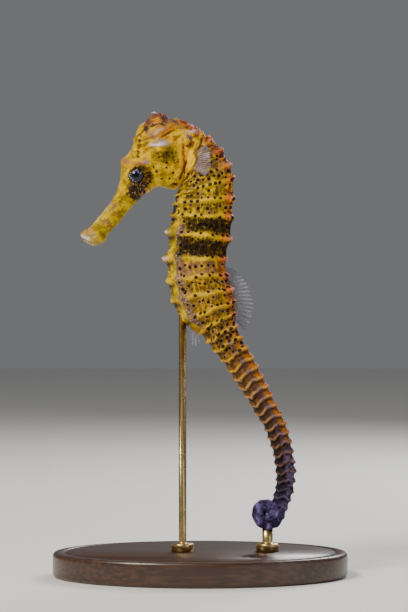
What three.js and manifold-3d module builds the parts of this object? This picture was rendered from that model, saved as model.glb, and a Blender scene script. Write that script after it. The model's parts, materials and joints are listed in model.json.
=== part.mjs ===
/*
 * A longsnout seahorse at life size, made as a still museum model on a display stand.
 *
 * Millimetres. +Z is up, the head looks along -X and the animal's left side faces -Y.
 * The origin is the middle of the base's underside.
 *
 * The body is one sweep from the mouth to the tip of the tail, and a ring number says how
 * far along it a section lies. Ring 0 is the rear edge of the head, the head and snout have
 * negative numbers, rings 1 to 12 are the neck and trunk, and rings 13 to 47 are the tail.
 * A whole number lies on the crest of a bony ring, and the skin sinks between the crests.
 * Round a section, the angle runs from 0 on the back to pi on the belly.
 */
import * as THREE from 'three';
import { LoftGeometry } from 'three/addons/geometries/LoftGeometry.js';
import { mergeVertices } from 'three/addons/utils/BufferGeometryUtils.js';
import Module from 'manifold-3d';

const wasm = await Module();
wasm.setup();

// ---------------------------------------------------------------- driving dimensions

const GAP = 0.3; // between one sub-part and the next
const WELD = 1e-4; // points closer than this are one
const FIN_THICKNESS = 0.6;
const LEFT = -1; // the left side faces -Y
const RIGHT = 1;

// Head, neck and trunk. Each station has its ring, the belly's edge (x, z), the back's
// edge (x, z) and half the body's width.
const BODY_STATIONS = [
	[ - 11.0, - 32.6, 94.9, - 34.2, 97.2, 1.2 ], // lips
	[ - 10.6, - 30.2, 94.0, - 32.9, 98.5, 2.0 ],
	[ - 10.0, - 27.4, 95.3, - 31.4, 99.2, 2.3 ], // chin
	[ - 9.4, - 26.4, 97.2, - 29.6, 101.2, 2.1 ],
	[ - 8.0, - 22.8, 101.0, - 26.9, 104.5, 2.1 ], // snout
	[ - 6.8, - 19.7, 104.9, - 24.2, 108.3, 2.3 ],
	[ - 5.8, - 16.8, 107.7, - 22.8, 112.6, 3.1 ], // eyes
	[ - 4.8, - 14.2, 109.7, - 21.9, 117.6, 4.1 ],
	[ - 3.8, - 12.1, 110.6, - 19.5, 121.7, 4.7 ], // forehead
	[ - 2.8, - 10.3, 110.7, - 17.4, 126.8, 5.0 ],
	[ - 1.8, - 8.5, 110.3, - 12.8, 129.2, 5.0 ], // gill covers
	[ - 0.8, - 7.0, 110.3, - 6.8, 129.5, 4.7 ],
	[ 0.0, - 5.8, 111.1, - 1.2, 127.8, 4.6 ], // throat
	[ 1.0, - 5.4, 111.7, 2.9, 124.7, 4.7 ],
	[ 2.0, - 5.7, 110.9, 5.9, 121.2, 5.0 ], // neck
	[ 3.0, - 6.3, 109.9, 8.3, 117.2, 5.3 ],
	[ 4.0, - 6.8, 108.4, 9.4, 113.1, 5.4 ],
	[ 5.0, - 7.4, 106.0, 9.4, 107.4, 5.6 ],
	[ 6.0, - 8.1, 102.6, 9.1, 101.9, 5.7 ],
	[ 7.0, - 8.8, 97.8, 8.4, 96.0, 5.7 ],
	[ 8.0, - 9.1, 90.8, 7.3, 90.3, 5.7 ], // deepest part of the trunk
	[ 9.0, - 9.1, 84.4, 7.7, 85.8, 5.7 ],
	[ 10.0, - 7.8, 78.4, 9.0, 81.8, 5.7 ],
	[ 11.0, - 5.1, 72.4, 9.8, 78.2, 5.3 ],
	[ 12.0, - 0.1, 69.4, 10.0, 74.7, 4.6 ], // last trunk ring
];

// Tail. Each station has its ring, the middle of the section (x, z) and its depth.
const TAIL_STATIONS = [
	[ 13, 6.1, 69.0, 9.5 ],
	[ 16, 11.3, 60.7, 8.1 ],
	[ 20, 17.3, 50.3, 6.8 ],
	[ 24, 22.2, 40.4, 5.9 ],
	[ 28, 24.3, 30.1, 5.4 ],
	[ 30, 24.0, 24.9, 5.1 ],
	[ 31, 23.4, 22.6, 5.0 ],
	[ 32, 22.6, 20.1, 4.9 ],
];
const TAIL_WIDTH_TO_DEPTH = 1.0;

// Coil at the end of the tail. It winds forward and under, and its last turn lies on the
// left of the first.
const COIL = {
	x: 19.2,
	z: 18.0,
	firstRing: 33,
	lastRing: 47,
	startAngle: 0.14, // below the horizontal, in radians
	turn: 8.1,
	radius: 2.65,
	tipRadius: 0.7,
	depth: 4.8,
	tipDepth: 0.9,
	sideShift: - 4.0,
	sideShiftFrom: 0.3,
	sideShiftTo: 0.68,
};

// Corners of a section: angle from the back in degrees, and radius, where 1 is the round
// section. They are the back, the upper, side and lower ridges, and the belly.
const TRUNK_CORNERS = [ [ 0, 0.94 ], [ 30, 1.12 ], [ 74, 1.04 ], [ 139, 0.87 ], [ 180, 1 ] ];
const TAIL_CORNERS = [ [ 0, 0.92 ], [ 38, 1.2 ], [ 117, 1.08 ], [ 157, 1 ], [ 180, 0.96 ] ];
const CORNERED = 0.9; // how much of the corners' shape the body has, from 0 to 1

const CREST_RISE = 0.3; // of a bony ring over the skin between
const CREST_SPREAD = 0.14; // half the crest's width, as a share of the ring
const KNOB_RISES = [ 0, 0.6, 0.4, 0.4, 0.3 ]; // where a crest crosses each corner
const KNOB_SPREAD = 0.2; // in radians round the body
const KEEL_KNOBS = { 7: 1.1, 8: 1.5, 9: 0.4 }; // knobs on the belly's keel, by ring
const SHOULDER_KNOBS = { 1: 0.5, 2: 0.9, 3: 0.9, 7: 1.0, 10: 0.9, 12: 0.6 }; // on the back

const TIP_SMOOTHING = 0.8; // how much of the crests and knobs is lost towards the tail's tip

const CREST_STOPS = [ - 0.22, 0, 0.22 ]; // sections that shape each crest
const COIL_STOPS = [ 0, 0.5 ];
const HEAD_STEP = 0.5; // rings between the head's sections
const HEAD_COLUMNS = 20;

const EYE = { x: - 18.1, y: 2.75, z: 113.7, radius: 2.4 };
const NOSE_SPINE = { x: - 21.4, z: 118.6, radius: 1.0 };

// Coronet: a low ragged crown, its foot in the head and its rim flared into lobes.
const CORONET = {
	x: - 12.9,
	z: 127.2,
	lean: 8, // degrees, backward
	height: 4.9,
	length: 4.8,
	width: 3.1,
	lobes: 5,
	lobeDepth: 0.16, // share of the radius
	lobeRise: 0.3,
	columns: 20,
};

// Fins, as outlines in the plane of the fin, in x and z.
const DORSAL_FIN = {
	root: [ [ 4.5, 88.0 ], [ 6.0, 72.5 ] ],
	edge: [ [ 8.2, 88.0 ], [ 11.2, 86.0 ], [ 13.6, 82.6 ], [ 15.1, 78.6 ], [ 14.8, 74.4 ], [ 12.9, 69.6 ] ],
};
const ANAL_FIN = {
	root: [ [ - 3.2, 72.0 ], [ 0.6, 71.2 ] ],
	edge: [ [ - 2.7, 66.8 ], [ - 2.0, 65.3 ], [ - 0.5, 65.6 ], [ 0.3, 67.2 ] ],
};
const PECTORAL_FIN = {
	x: - 2.2, // middle of the fleshy root
	y: 4.55,
	z: 117.9,
	lobeLength: 1.5,
	lobeHeight: 3.5,
	lobeWidth: 1.0,
	reach: 5.7,
	halfHeight: 4.5,
	spread: 0.95, // half the fan's angle, in radians
	swing: 20, // degrees, away from the body
};

const BASE = { length: 84, width: 56, height: 7, bevel: 1.2, segments: 32 };
const ROD_SEGMENTS = 20;
const BODY_ROD = { x: - 5.0, y: 0, top: 76, radius: 1.1 };
const TAIL_ROD = { x: 19.2, y: 0, top: 17, radius: 1.5 };
const COLLAR = { radius: 3.2, height: 2.4, bevel: 0.5 };

const COLOURS = {
	gold: 0xd9a814,
	ochre: 0xb98a24,
	amber: 0xb5752a,
	umber: 0x6a4f3c,
	slate: 0x5a4c58,
	crown: 0x9a6f58,
	fin: 0x8c9299,
	eye: 0x1c2434,
	base: 0x2a211c,
	rod: 0xa89468,
};

// ---------------------------------------------------------------- the body as a formula

const smooth = ( from, to, value ) => THREE.MathUtils.smoothstep( value, from, to );
const bell = ( distance, spread ) => Math.exp( - ( ( distance / spread ) ** 2 ) );

/** Middle, depth and sideways shift of the coil at a ring. */
function coilStation( ring ) {

	const way = ( ring - COIL.firstRing ) / ( COIL.lastRing - COIL.firstRing );
	const angle = COIL.startAngle + COIL.turn * ( 1.25 * way - 0.25 * way * way );
	const radius = THREE.MathUtils.lerp( COIL.radius, COIL.tipRadius, way ** 2 );
	return {
		ring,
		x: COIL.x + radius * Math.cos( angle ),
		z: COIL.z - radius * Math.sin( angle ),
		depth: THREE.MathUtils.lerp( COIL.depth, COIL.tipDepth, way ** 1.1 ),
		side: COIL.sideShift * smooth( COIL.sideShiftFrom, COIL.sideShiftTo, way ),
	};

}

/** Every station as { ring, values }, the values being what a section needs. */
function bodyStations() {

	const stations = BODY_STATIONS.map( ( [ ring, ...values ] ) => ( { ring, values: [ ...values, 0 ] } ) );
	const last = stations.at( - 1 ).values;
	const middles = [ { ring: 12, x: ( last[ 0 ] + last[ 2 ] ) / 2, z: ( last[ 1 ] + last[ 3 ] ) / 2 } ];
	for ( const [ ring, x, z, depth ] of TAIL_STATIONS ) middles.push( { ring, x, z, depth, side: 0 } );
	for ( let ring = COIL.firstRing; ring <= COIL.lastRing + 1; ring ++ ) middles.push( coilStation( ring ) );
	for ( let i = 1; i < middles.length - 1; i ++ ) {

		const { ring, x, z, depth, side } = middles[ i ];
		const along = new THREE.Vector2(
			middles[ i + 1 ].x - middles[ i - 1 ].x,
			middles[ i + 1 ].z - middles[ i - 1 ].z,
		).setLength( depth / 2 );
		// the back lies to the left of the way that the tail runs
		const back = new THREE.Vector2( - along.y, along.x );
		stations.push( {
			ring,
			values: [ x - back.x, z - back.y, x + back.x, z + back.y, depth / 2 * TAIL_WIDTH_TO_DEPTH, side ],
		} );

	}

	return stations;

}

const STATIONS = bodyStations();
const FIRST_RING = STATIONS[ 0 ].ring;
const LAST_RING = STATIONS.at( - 1 ).ring;

/** Slope of every value at a station, from its neighbours. */
function slopes( index ) {

	const before = STATIONS[ Math.max( index - 1, 0 ) ];
	const after = STATIONS[ Math.min( index + 1, STATIONS.length - 1 ) ];
	return before.values.map( ( value, i ) => ( after.values[ i ] - value ) / ( after.ring - before.ring ) );

}

const SLOPES = STATIONS.map( ( station, index ) => slopes( index ) );

/** The section at a ring: its middle, its half sizes and the directions it lies in. */
function section( ring ) {

	let index = STATIONS.findIndex( ( station ) => station.ring > ring ) - 1;
	if ( index < 0 ) index = STATIONS.length - 2;
	const [ start, end ] = [ STATIONS[ index ], STATIONS[ index + 1 ] ];
	const step = end.ring - start.ring;
	const t = ( ring - start.ring ) / step;
	const [ bellyX, bellyZ, backX, backZ, halfWidth, side ] = start.values.map( ( value, i ) => {

		const eased = t * t * ( 3 - 2 * t );
		const bulge = SLOPES[ index ][ i ] * t * ( 1 - t ) ** 2 - SLOPES[ index + 1 ][ i ] * t * t * ( 1 - t );
		return THREE.MathUtils.lerp( value, end.values[ i ], eased ) + bulge * step;

	} );
	const belly = new THREE.Vector3( bellyX, side, bellyZ );
	const back = new THREE.Vector3( backX, side, backZ );
	const toBack = back.clone().sub( belly );
	const halfDepth = toBack.length() / 2;
	toBack.normalize();
	return {
		middle: belly.add( back ).divideScalar( 2 ),
		toBack,
		toTail: new THREE.Vector3( toBack.z, 0, - toBack.x ),
		halfDepth,
		halfWidth,
	};

}

/** The five corners at a ring: angle in radians and radius. */
function corners( ring ) {

	const towardsTail = smooth( 10.5, 14, ring );
	return TRUNK_CORNERS.map( ( corner, i ) => {

		const angle = THREE.MathUtils.lerp( corner[ 0 ], TAIL_CORNERS[ i ][ 0 ], towardsTail );
		const radius = THREE.MathUtils.lerp( corner[ 1 ], TAIL_CORNERS[ i ][ 1 ], towardsTail );
		return [ THREE.MathUtils.degToRad( angle ), radius ];

	} );

}

/** Radius at an angle of a section with straight sides between its corners. */
function corneredRadius( ring, angle ) {

	const around = corners( ring );
	const i = Math.min( around.findIndex( ( corner ) => corner[ 0 ] >= angle - 1e-9 ) || 1, 4 );
	const [ fromAngle, fromRadius ] = around[ i - 1 ];
	const [ toAngle, toRadius ] = around[ i ];
	return fromRadius * toRadius * Math.sin( toAngle - fromAngle ) /
		( fromRadius * Math.sin( angle - fromAngle ) + toRadius * Math.sin( toAngle - angle ) );

}

/** How far the skin stands out over the plain section: crests, and knobs on the ridges. */
function relief( ring, angle ) {

	const crest = Math.round( ring );
	if ( crest < 1 || crest >= LAST_RING ) return 0;
	const fade = 1 - TIP_SMOOTHING * smooth( 26, 38, ring );
	const across = bell( ring - crest, CREST_SPREAD );
	const knobs = corners( ring ).reduce( ( sum, [ cornerAngle ], i ) => {

		const back = i === 1 ? ( SHOULDER_KNOBS[ crest ] ?? KNOB_RISES[ i ] ) : KNOB_RISES[ i ];
		const rise = i === 4 ? ( KEEL_KNOBS[ crest ] ?? KNOB_RISES[ i ] ) : back;
		return sum + rise * bell( angle - cornerAngle, KNOB_SPREAD );

	}, 0 );
	return across * fade * ( CREST_RISE + knobs );

}

/** A point of the skin at a ring and an angle, moved out by a margin. */
function skinPoint( ring, angle, margin = 0 ) {

	const { middle, toBack, halfDepth, halfWidth } = section( ring );
	const half = Math.abs( angle > Math.PI ? angle - 2 * Math.PI : angle );
	const cornered = CORNERED * smooth( - 1, 2.5, ring );
	const radius = THREE.MathUtils.lerp( 1, corneredRadius( ring, half ), cornered );
	const flat = new THREE.Vector3()
		.addScaledVector( toBack, Math.cos( angle ) * halfDepth )
		.add( new THREE.Vector3( 0, LEFT * Math.sin( angle ) * halfWidth, 0 ) );
	const length = flat.length() * radius + relief( ring, half ) + margin;
	return middle.clone().add( flat.setLength( length ) );

}

/** Angles of a section's points: every corner, and the middle of each longer side. */
function cornerColumns( ring ) {

	const angles = corners( ring ).map( ( corner ) => corner[ 0 ] );
	const half = [
		angles[ 0 ],
		angles[ 1 ],
		( angles[ 1 ] + angles[ 2 ] ) / 2,
		angles[ 2 ],
		( angles[ 2 ] + angles[ 3 ] ) / 2,
		angles[ 3 ],
		( angles[ 3 ] + angles[ 4 ] ) / 2,
		angles[ 4 ],
	];
	const mirrored = half.slice( 1, - 1 ).reverse().map( ( angle ) => 2 * Math.PI - angle );
	return [ ...half, ...mirrored ];

}

/** Evenly spaced angles, for the round head. */
function evenColumns() {

	return Array.from( { length: HEAD_COLUMNS }, ( _, i ) => 2 * Math.PI * i / HEAD_COLUMNS );

}

/** Rings at which a length of the body has its sections. */
function sectionStops( from, to ) {

	const stops = [ from ];
	const farEnough = ( stop ) => stop > stops.at( - 1 ) + 0.12 && stop < to - 0.12;
	for ( let ring = FIRST_RING; ring < 0; ring += HEAD_STEP ) if ( farEnough( ring ) ) stops.push( ring );
	for ( let crest = 1; crest < LAST_RING; crest ++ ) {

		const offsets = crest > COIL.firstRing ? COIL_STOPS : CREST_STOPS;
		for ( const offset of offsets ) if ( farEnough( crest + offset ) ) stops.push( crest + offset );

	}

	return [ ...stops, to ];

}

// ---------------------------------------------------------------- solids and meshes

/** A closed geometry as a solid that can be joined and cut. */
function solid( geometry ) {

	const bare = new THREE.BufferGeometry().copy( geometry );
	bare.deleteAttribute( 'normal' );
	bare.deleteAttribute( 'uv' );
	const merged = mergeVertices( bare, WELD );
	return new wasm.Manifold( new wasm.Mesh( {
		numProp: 3,
		vertProperties: new Float32Array( merged.attributes.position.array ),
		triVerts: new Uint32Array( merged.index.array ),
	} ) );

}

/** A solid as a geometry. */
function shapeOf( manifold ) {

	const { vertProperties, triVerts } = manifold.getMesh();
	const geometry = new THREE.BufferGeometry();
	geometry.setAttribute( 'position', new THREE.BufferAttribute( vertProperties, 3 ) );
	geometry.setIndex( new THREE.BufferAttribute( triVerts, 1 ) );
	geometry.computeVertexNormals();
	return geometry;

}

/** A closed length of the body, drawn back by half a gap at an end that meets another. */
function bodyLength( from, to, columnsAt = cornerColumns, margin = 0 ) {

	const stops = sectionStops( from, to );
	const sections = stops.map( ( ring, i ) => {

		const { toTail } = section( ring );
		const startDraw = i === 0 && from > FIRST_RING ? GAP / 2 : 0;
		const endDraw = i === stops.length - 1 && to < LAST_RING ? - GAP / 2 : 0;
		const draw = toTail.clone().multiplyScalar( startDraw + endDraw );
		return columnsAt( ring ).map( ( angle ) => skinPoint( ring, angle, margin ).add( draw ) );

	} );
	return solid( new LoftGeometry( sections, { capStart: true, capEnd: true } ) );

}

/** An outline in x and z, as a flat plate across y = 0. */
function plate( outline, thickness ) {

	const shape = new THREE.Shape( outline.map( ( [ x, z ] ) => new THREE.Vector2( x, z ) ) );
	const geometry = new THREE.ExtrudeGeometry( shape, { depth: thickness, bevelEnabled: false } );
	geometry.translate( 0, 0, - thickness / 2 );
	geometry.rotateX( Math.PI / 2 );
	return geometry;

}

const seahorse = new THREE.Group();

/** Adds a named sub-part in its own material. */
function add( name, manifold, color, roughness = 0.6, metalness = 0 ) {

	const material = new THREE.MeshStandardMaterial( { color, roughness, metalness } );
	const mesh = new THREE.Mesh( shapeOf( manifold ), material );
	mesh.name = name;
	seahorse.add( mesh );

}

// ---------------------------------------------------------------- head

/** A ball, for eyes, sockets and knobs. */
function ball( x, y, z, radius, rows = 10 ) {

	const geometry = new THREE.SphereGeometry( radius, 2 * rows, rows );
	geometry.rotateX( Math.PI / 2 );
	geometry.translate( x, y, z );
	return solid( geometry );

}

/** A low crown whose rim waves in and out round its lobes. */
function coronetSolid() {

	const levels = [ [ 0, 1 ], [ 0.4, 0.94 ], [ 0.66, 0.66 ], [ 0.88, 0.6 ], [ 1, 0.4 ] ];
	const sections = levels.map( ( [ height, flare ], level ) => {

		return Array.from( { length: CORONET.columns }, ( _, i ) => {

			const angle = 2 * Math.PI * i / CORONET.columns;
			const wave = Math.cos( CORONET.lobes * angle );
			const lobe = 1 + ( level < 2 ? 0 : CORONET.lobeDepth * wave );
			const rise = level < 3 ? 0 : CORONET.lobeRise * wave;
			return new THREE.Vector3(
				CORONET.length * flare * lobe * Math.cos( angle ),
				CORONET.width * flare * lobe * Math.sin( angle ),
				CORONET.height * height + rise,
			);

		} );

	} );
	const geometry = new LoftGeometry( sections, { capStart: true, capEnd: true } );
	geometry.rotateY( THREE.MathUtils.degToRad( CORONET.lean ) );
	geometry.translate( CORONET.x, 0, CORONET.z );
	return solid( geometry );

}

const sockets = [ LEFT, RIGHT ].map( ( side ) => ball( EYE.x, side * EYE.y, EYE.z, EYE.radius + GAP / 2 ) );
const headLength = bodyLength( - 6.3, 0, evenColumns );
const noseSpine = ball( NOSE_SPINE.x, 0, NOSE_SPINE.z, NOSE_SPINE.radius, 6 );
const head = headLength.add( noseSpine ).subtract( sockets[ 0 ] ).subtract( sockets[ 1 ] );
const coronet = coronetSolid().subtract( bodyLength( - 6.3, 2, evenColumns, GAP ) );

add( 'snout', bodyLength( FIRST_RING, - 6.3, evenColumns ), COLOURS.gold );
add( 'head', head, COLOURS.gold );
add( 'coronet', coronet, COLOURS.crown );
add( 'eye_left', ball( EYE.x, LEFT * EYE.y, EYE.z, EYE.radius ), COLOURS.eye, 0.15 );
add( 'eye_right', ball( EYE.x, RIGHT * EYE.y, EYE.z, EYE.radius ), COLOURS.eye, 0.15 );

// ---------------------------------------------------------------- neck, trunk and tail

const BODY_LENGTHS = [
	[ 'neck', 0, 3.5, COLOURS.gold ],
	[ 'trunk_upper', 3.5, 7.5, COLOURS.gold ],
	[ 'trunk_lower', 7.5, 12.5, COLOURS.ochre ],
	[ 'tail_upper', 12.5, 18.5, COLOURS.ochre ],
	[ 'tail_middle', 18.5, 24.5, COLOURS.amber ],
	[ 'tail_lower', 24.5, 30.5, COLOURS.umber ],
	[ 'tail_coil', 30.5, LAST_RING, COLOURS.slate ],
];
for ( const [ name, from, to, color ] of BODY_LENGTHS ) add( name, bodyLength( from, to ), color );

// ---------------------------------------------------------------- fins

/** A fin in the body's middle plane, cut where the body with its gap is. */
function middleFin( { root, edge } ) {

	const curve = new THREE.SplineCurve( edge.map( ( [ x, z ] ) => new THREE.Vector2( x, z ) ) );
	const rim = curve.getPoints( 3 * edge.length ).map( ( point ) => [ point.x, point.y ] );
	const outline = [ root[ 0 ], ...rim, root[ 1 ] ];
	return solid( plate( outline, FIN_THICKNESS ) ).subtract( bodyLength( 6, 16, cornerColumns, GAP ) );

}

/** A rounded fan on a fleshy lobe, swung out from the side of the neck. */
function pectoralFin( side ) {

	const fin = PECTORAL_FIN;
	const steps = 12;
	const rim = Array.from( { length: steps + 1 }, ( _, i ) => {

		const angle = THREE.MathUtils.lerp( - fin.spread, fin.spread, i / steps );
		return [ fin.reach * Math.cos( angle ) ** 0.6, fin.halfHeight * Math.sin( angle ) / Math.sin( fin.spread ) ];

	} );
	const rootHalf = 0.6 * fin.lobeHeight;
	const fan = plate( [ [ 0, - rootHalf ], ...rim, [ 0, rootHalf ] ], FIN_THICKNESS );
	const lobe = new THREE.SphereGeometry( 1, 16, 10 );
	lobe.scale( fin.lobeLength, fin.lobeWidth, fin.lobeHeight );
	const placed = [ fan, lobe ].map( ( geometry ) => {

		geometry.rotateZ( side * THREE.MathUtils.degToRad( fin.swing ) );
		geometry.translate( fin.x, side * fin.y, fin.z );
		return solid( geometry );

	} );
	return placed[ 0 ].add( placed[ 1 ] ).subtract( bodyLength( - 4, 5, cornerColumns, GAP ) );

}

add( 'pectoral_fin_left', pectoralFin( LEFT ), COLOURS.fin, 0.4 );
add( 'pectoral_fin_right', pectoralFin( RIGHT ), COLOURS.fin, 0.4 );
add( 'dorsal_fin', middleFin( DORSAL_FIN ), COLOURS.fin, 0.4 );
add( 'anal_fin', middleFin( ANAL_FIN ), COLOURS.fin, 0.4 );

// ---------------------------------------------------------------- display stand

/** An oval plate with a bevelled top edge, standing on the floor. */
function baseSolid() {

	const oval = new THREE.Shape();
	oval.absellipse( 0, 0, BASE.length / 2 - BASE.bevel, BASE.width / 2 - BASE.bevel, 0, 2 * Math.PI );
	const geometry = new THREE.ExtrudeGeometry( oval, {
		depth: BASE.height - 2 * BASE.bevel,
		bevelThickness: BASE.bevel,
		bevelSize: BASE.bevel,
		bevelSegments: 2,
		curveSegments: BASE.segments,
	} );
	geometry.translate( 0, 0, BASE.bevel );
	return solid( geometry );

}

/** A rod with a collar at its foot, its top cut to the body's underside. */
function rodSolid( { x, y, top, radius }, bodyFrom, bodyTo ) {

	const foot = BASE.height + GAP;
	const profile = [
		[ 0, foot ],
		[ COLLAR.radius, foot ],
		[ COLLAR.radius, foot + COLLAR.height - COLLAR.bevel ],
		[ COLLAR.radius - COLLAR.bevel, foot + COLLAR.height ],
		[ radius, foot + COLLAR.height ],
		[ radius, top ],
		[ 0, top ],
	].map( ( [ across, up ] ) => new THREE.Vector2( across, up ) );
	const geometry = new THREE.LatheGeometry( profile, ROD_SEGMENTS );
	geometry.rotateX( Math.PI / 2 );
	geometry.translate( x, y, 0 );
	return solid( geometry ).subtract( bodyLength( bodyFrom, bodyTo, cornerColumns, GAP ) );

}

add( 'stand_base', baseSolid(), COLOURS.base, 0.45 );
add( 'stand_rod_body', rodSolid( BODY_ROD, 8, 14 ), COLOURS.rod, 0.35, 1 );
add( 'stand_rod_tail', rodSolid( TAIL_ROD, 31, 37 ), COLOURS.rod, 0.35, 1 );

export default seahorse;
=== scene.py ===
# %% [markdown]
# # A longsnout seahorse on a display stand
#
# This lesson dresses the solids of a life-size seahorse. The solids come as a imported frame
# that never moves, and every piece made here lies where its solids lie, in metres, with +Z
# up, the head towards -X and the animal's left side towards -Y.
#
# The whole body, from lips to tail tip, gets one skin, so no seam shows between head, neck,
# trunk and tail. Eyes, fins and the stand are pieces of their own.

# %% Load the frame
import json
import math

import bmesh
import bpy
from mathutils import Matrix, Vector, noise
from mathutils.bvhtree import BVHTree

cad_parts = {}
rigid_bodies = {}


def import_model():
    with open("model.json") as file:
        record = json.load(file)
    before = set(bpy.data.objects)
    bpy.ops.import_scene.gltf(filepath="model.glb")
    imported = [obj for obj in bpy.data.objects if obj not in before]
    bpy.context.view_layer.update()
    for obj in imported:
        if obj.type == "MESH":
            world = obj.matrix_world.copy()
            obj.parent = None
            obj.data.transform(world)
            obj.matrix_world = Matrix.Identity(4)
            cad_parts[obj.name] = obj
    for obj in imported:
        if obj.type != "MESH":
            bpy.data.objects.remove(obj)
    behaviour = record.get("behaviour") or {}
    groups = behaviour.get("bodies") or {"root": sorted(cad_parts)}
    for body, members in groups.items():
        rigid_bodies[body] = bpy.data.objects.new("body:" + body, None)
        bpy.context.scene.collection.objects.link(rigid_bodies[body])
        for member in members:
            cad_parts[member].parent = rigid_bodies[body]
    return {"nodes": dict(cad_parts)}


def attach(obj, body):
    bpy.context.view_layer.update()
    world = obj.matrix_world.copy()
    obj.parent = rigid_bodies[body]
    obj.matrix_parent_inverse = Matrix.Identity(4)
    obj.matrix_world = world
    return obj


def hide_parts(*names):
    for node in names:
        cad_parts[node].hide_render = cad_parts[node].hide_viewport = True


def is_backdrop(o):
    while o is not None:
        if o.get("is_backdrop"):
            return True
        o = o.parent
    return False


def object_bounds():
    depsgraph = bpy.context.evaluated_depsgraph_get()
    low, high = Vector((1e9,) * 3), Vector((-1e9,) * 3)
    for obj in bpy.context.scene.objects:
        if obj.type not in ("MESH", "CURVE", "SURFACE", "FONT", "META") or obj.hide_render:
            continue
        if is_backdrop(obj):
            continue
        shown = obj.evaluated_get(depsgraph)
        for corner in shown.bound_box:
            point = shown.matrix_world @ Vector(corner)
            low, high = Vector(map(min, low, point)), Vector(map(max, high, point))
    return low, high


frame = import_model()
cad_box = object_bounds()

MM = 0.001
print("nodes:", len(frame["nodes"]), "height in mm:", round(cad_box[1].z / MM, 1))

# %% [markdown]
# ## Camera
#
# A long lens far away keeps the side view nearly flat, as a close portrait with a strong
# telephoto would. The picture is upright, so the sensor's 36 mm run along its height, and the
# lens follows from the height of the view at the animal's distance. A wide-angle lens nearby
# would show the same parts, but it would swell the head.

# %% Camera
VIEW_CENTRE = Vector((1.1, 0, 76.9)) * MM
VIEW_HEIGHT = 174.4 * MM
CAMERA_DISTANCE = 600 * MM
SENSOR = 36.0

camera_data = bpy.data.cameras.new("camera")
camera_data.sensor_width = SENSOR
camera_data.lens = SENSOR * CAMERA_DISTANCE / VIEW_HEIGHT
camera_data.clip_start = 0.01
camera = bpy.data.objects.new("camera", camera_data)
camera.location = VIEW_CENTRE - Vector((0, CAMERA_DISTANCE, 0))
camera.rotation_euler = (math.radians(90), 0, 0)
bpy.context.collection.objects.link(camera)
bpy.context.scene.camera = camera
print("lens in mm:", round(camera_data.lens))

# %% [markdown]
# ## Helpers
#
# Materials are node trees. Small helpers keep them readable. One fills a node's sockets with
# values or links, one adds a node to the tree that its links come from, and one turns a
# paint colour, written as six hex digits, into the linear numbers that shaders expect.

# %% Helpers for nodes and materials
def new_node(tree, kind, **settings):
    """A node with its settings."""
    made = tree.nodes.new(kind)
    for name, value in settings.items():
        setattr(made, name, value)
    return made


def fill(node, sockets):
    """Fills a node's sockets with plain values, or with other nodes' outputs as links."""
    for name, value in sockets.items():
        if isinstance(value, bpy.types.NodeSocket):
            node.id_data.links.new(value, node.inputs[name])
        else:
            node.inputs[name].default_value = value
    return node


def add_node(kind, sockets, **settings):
    """A node in the tree that its links come from."""
    link = next(value for value in sockets.values() if isinstance(value, bpy.types.NodeSocket))
    return fill(new_node(link.id_data, kind, **settings), sockets)


def paint(hex_digits):
    """A colour written as on a paint chart, as linear red, green, blue and alpha."""
    parts = [int(hex_digits[i:i + 2], 16) / 255 for i in (0, 2, 4)]
    return [*(c / 12.92 if c < 0.04045 else ((c + 0.055) / 1.055) ** 2.4 for c in parts), 1.0]


def new_material(name):
    """An empty material with a Principled shader joined to its output."""
    material = bpy.data.materials.new(name)
    material.use_nodes = True
    tree = material.node_tree
    tree.nodes.clear()
    shader = new_node(tree, "ShaderNodeBsdfPrincipled")
    add_node("ShaderNodeOutputMaterial", {"Surface": shader.outputs[0]})
    return material, tree, shader


print("golden yellow as linear numbers:", [round(part, 3) for part in paint("E4B400")])

# %% [markdown]
# The next ones name the few kinds of node that every finish here is made of: sums, soft
# steps, mixed colours, noise, colour ramps and bumps.

# %% Helpers for sums, masks and colours
def maths(operation, *values):
    """A Math node's result."""
    return add_node("ShaderNodeMath", dict(enumerate(values)), operation=operation).outputs[0]


def vector_maths(operation, *values, **named):
    """A Vector Math node."""
    sockets = {**dict(enumerate(values)), **named}
    return add_node("ShaderNodeVectorMath", sockets, operation=operation)


def over(value, low, high):
    """0 where a value is under low, 1 over high. It falls instead where low is the higher."""
    sockets = {"Value": value, "From Min": low, "From Max": high}
    return add_node("ShaderNodeMapRange", sockets, interpolation_type="SMOOTHSTEP").outputs[0]


def product(*values):
    """Numbers or masks multiplied together."""
    result = values[0]
    for value in values[1:]:
        result = maths("MULTIPLY", result, value)
    return result


def rest_of(mask):
    """1 where a mask is 0, and the other way round."""
    return maths("SUBTRACT", 1.0, mask)


def swing(value, amount):
    """A noise from 0 to 1 as a value about 0."""
    return product(maths("SUBTRACT", value, 0.5), amount)


def mixed(factor, below, above):
    """One colour laid over another."""
    return add_node("ShaderNodeMix", {0: factor, 6: below, 7: above}, data_type="RGBA").outputs[2]


def grain(vector, scale, detail=3.0, roughness=0.55):
    """Soft noise from 0 to 1."""
    sockets = {"Vector": vector, "Scale": scale, "Detail": detail, "Roughness": roughness}
    return add_node("ShaderNodeTexNoise", sockets).outputs["Fac"]


def colour_ramp(value, stops):
    """Colours at places from 0 to 1."""
    made = add_node("ShaderNodeValToRGB", {"Fac": value})
    elements = made.color_ramp.elements
    while len(elements) < len(stops):
        elements.new(0.5)
    for element, (position, colour) in zip(elements, stops):
        element.position = position
        element.color = colour
    return made.outputs["Color"]


def bumped(height, strength, distance):
    """A normal that follows a height. Strength from 0 to 1, distance in mm."""
    sockets = {"Height": height, "Strength": strength, "Distance": distance * MM}
    return add_node("ShaderNodeBump", sockets).outputs["Normal"]

# %% [markdown]
# Every piece starts as a bmesh. One more helper turns it into an object, lets it ride on the
# model's only body, and says which solids it stands for.

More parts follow.
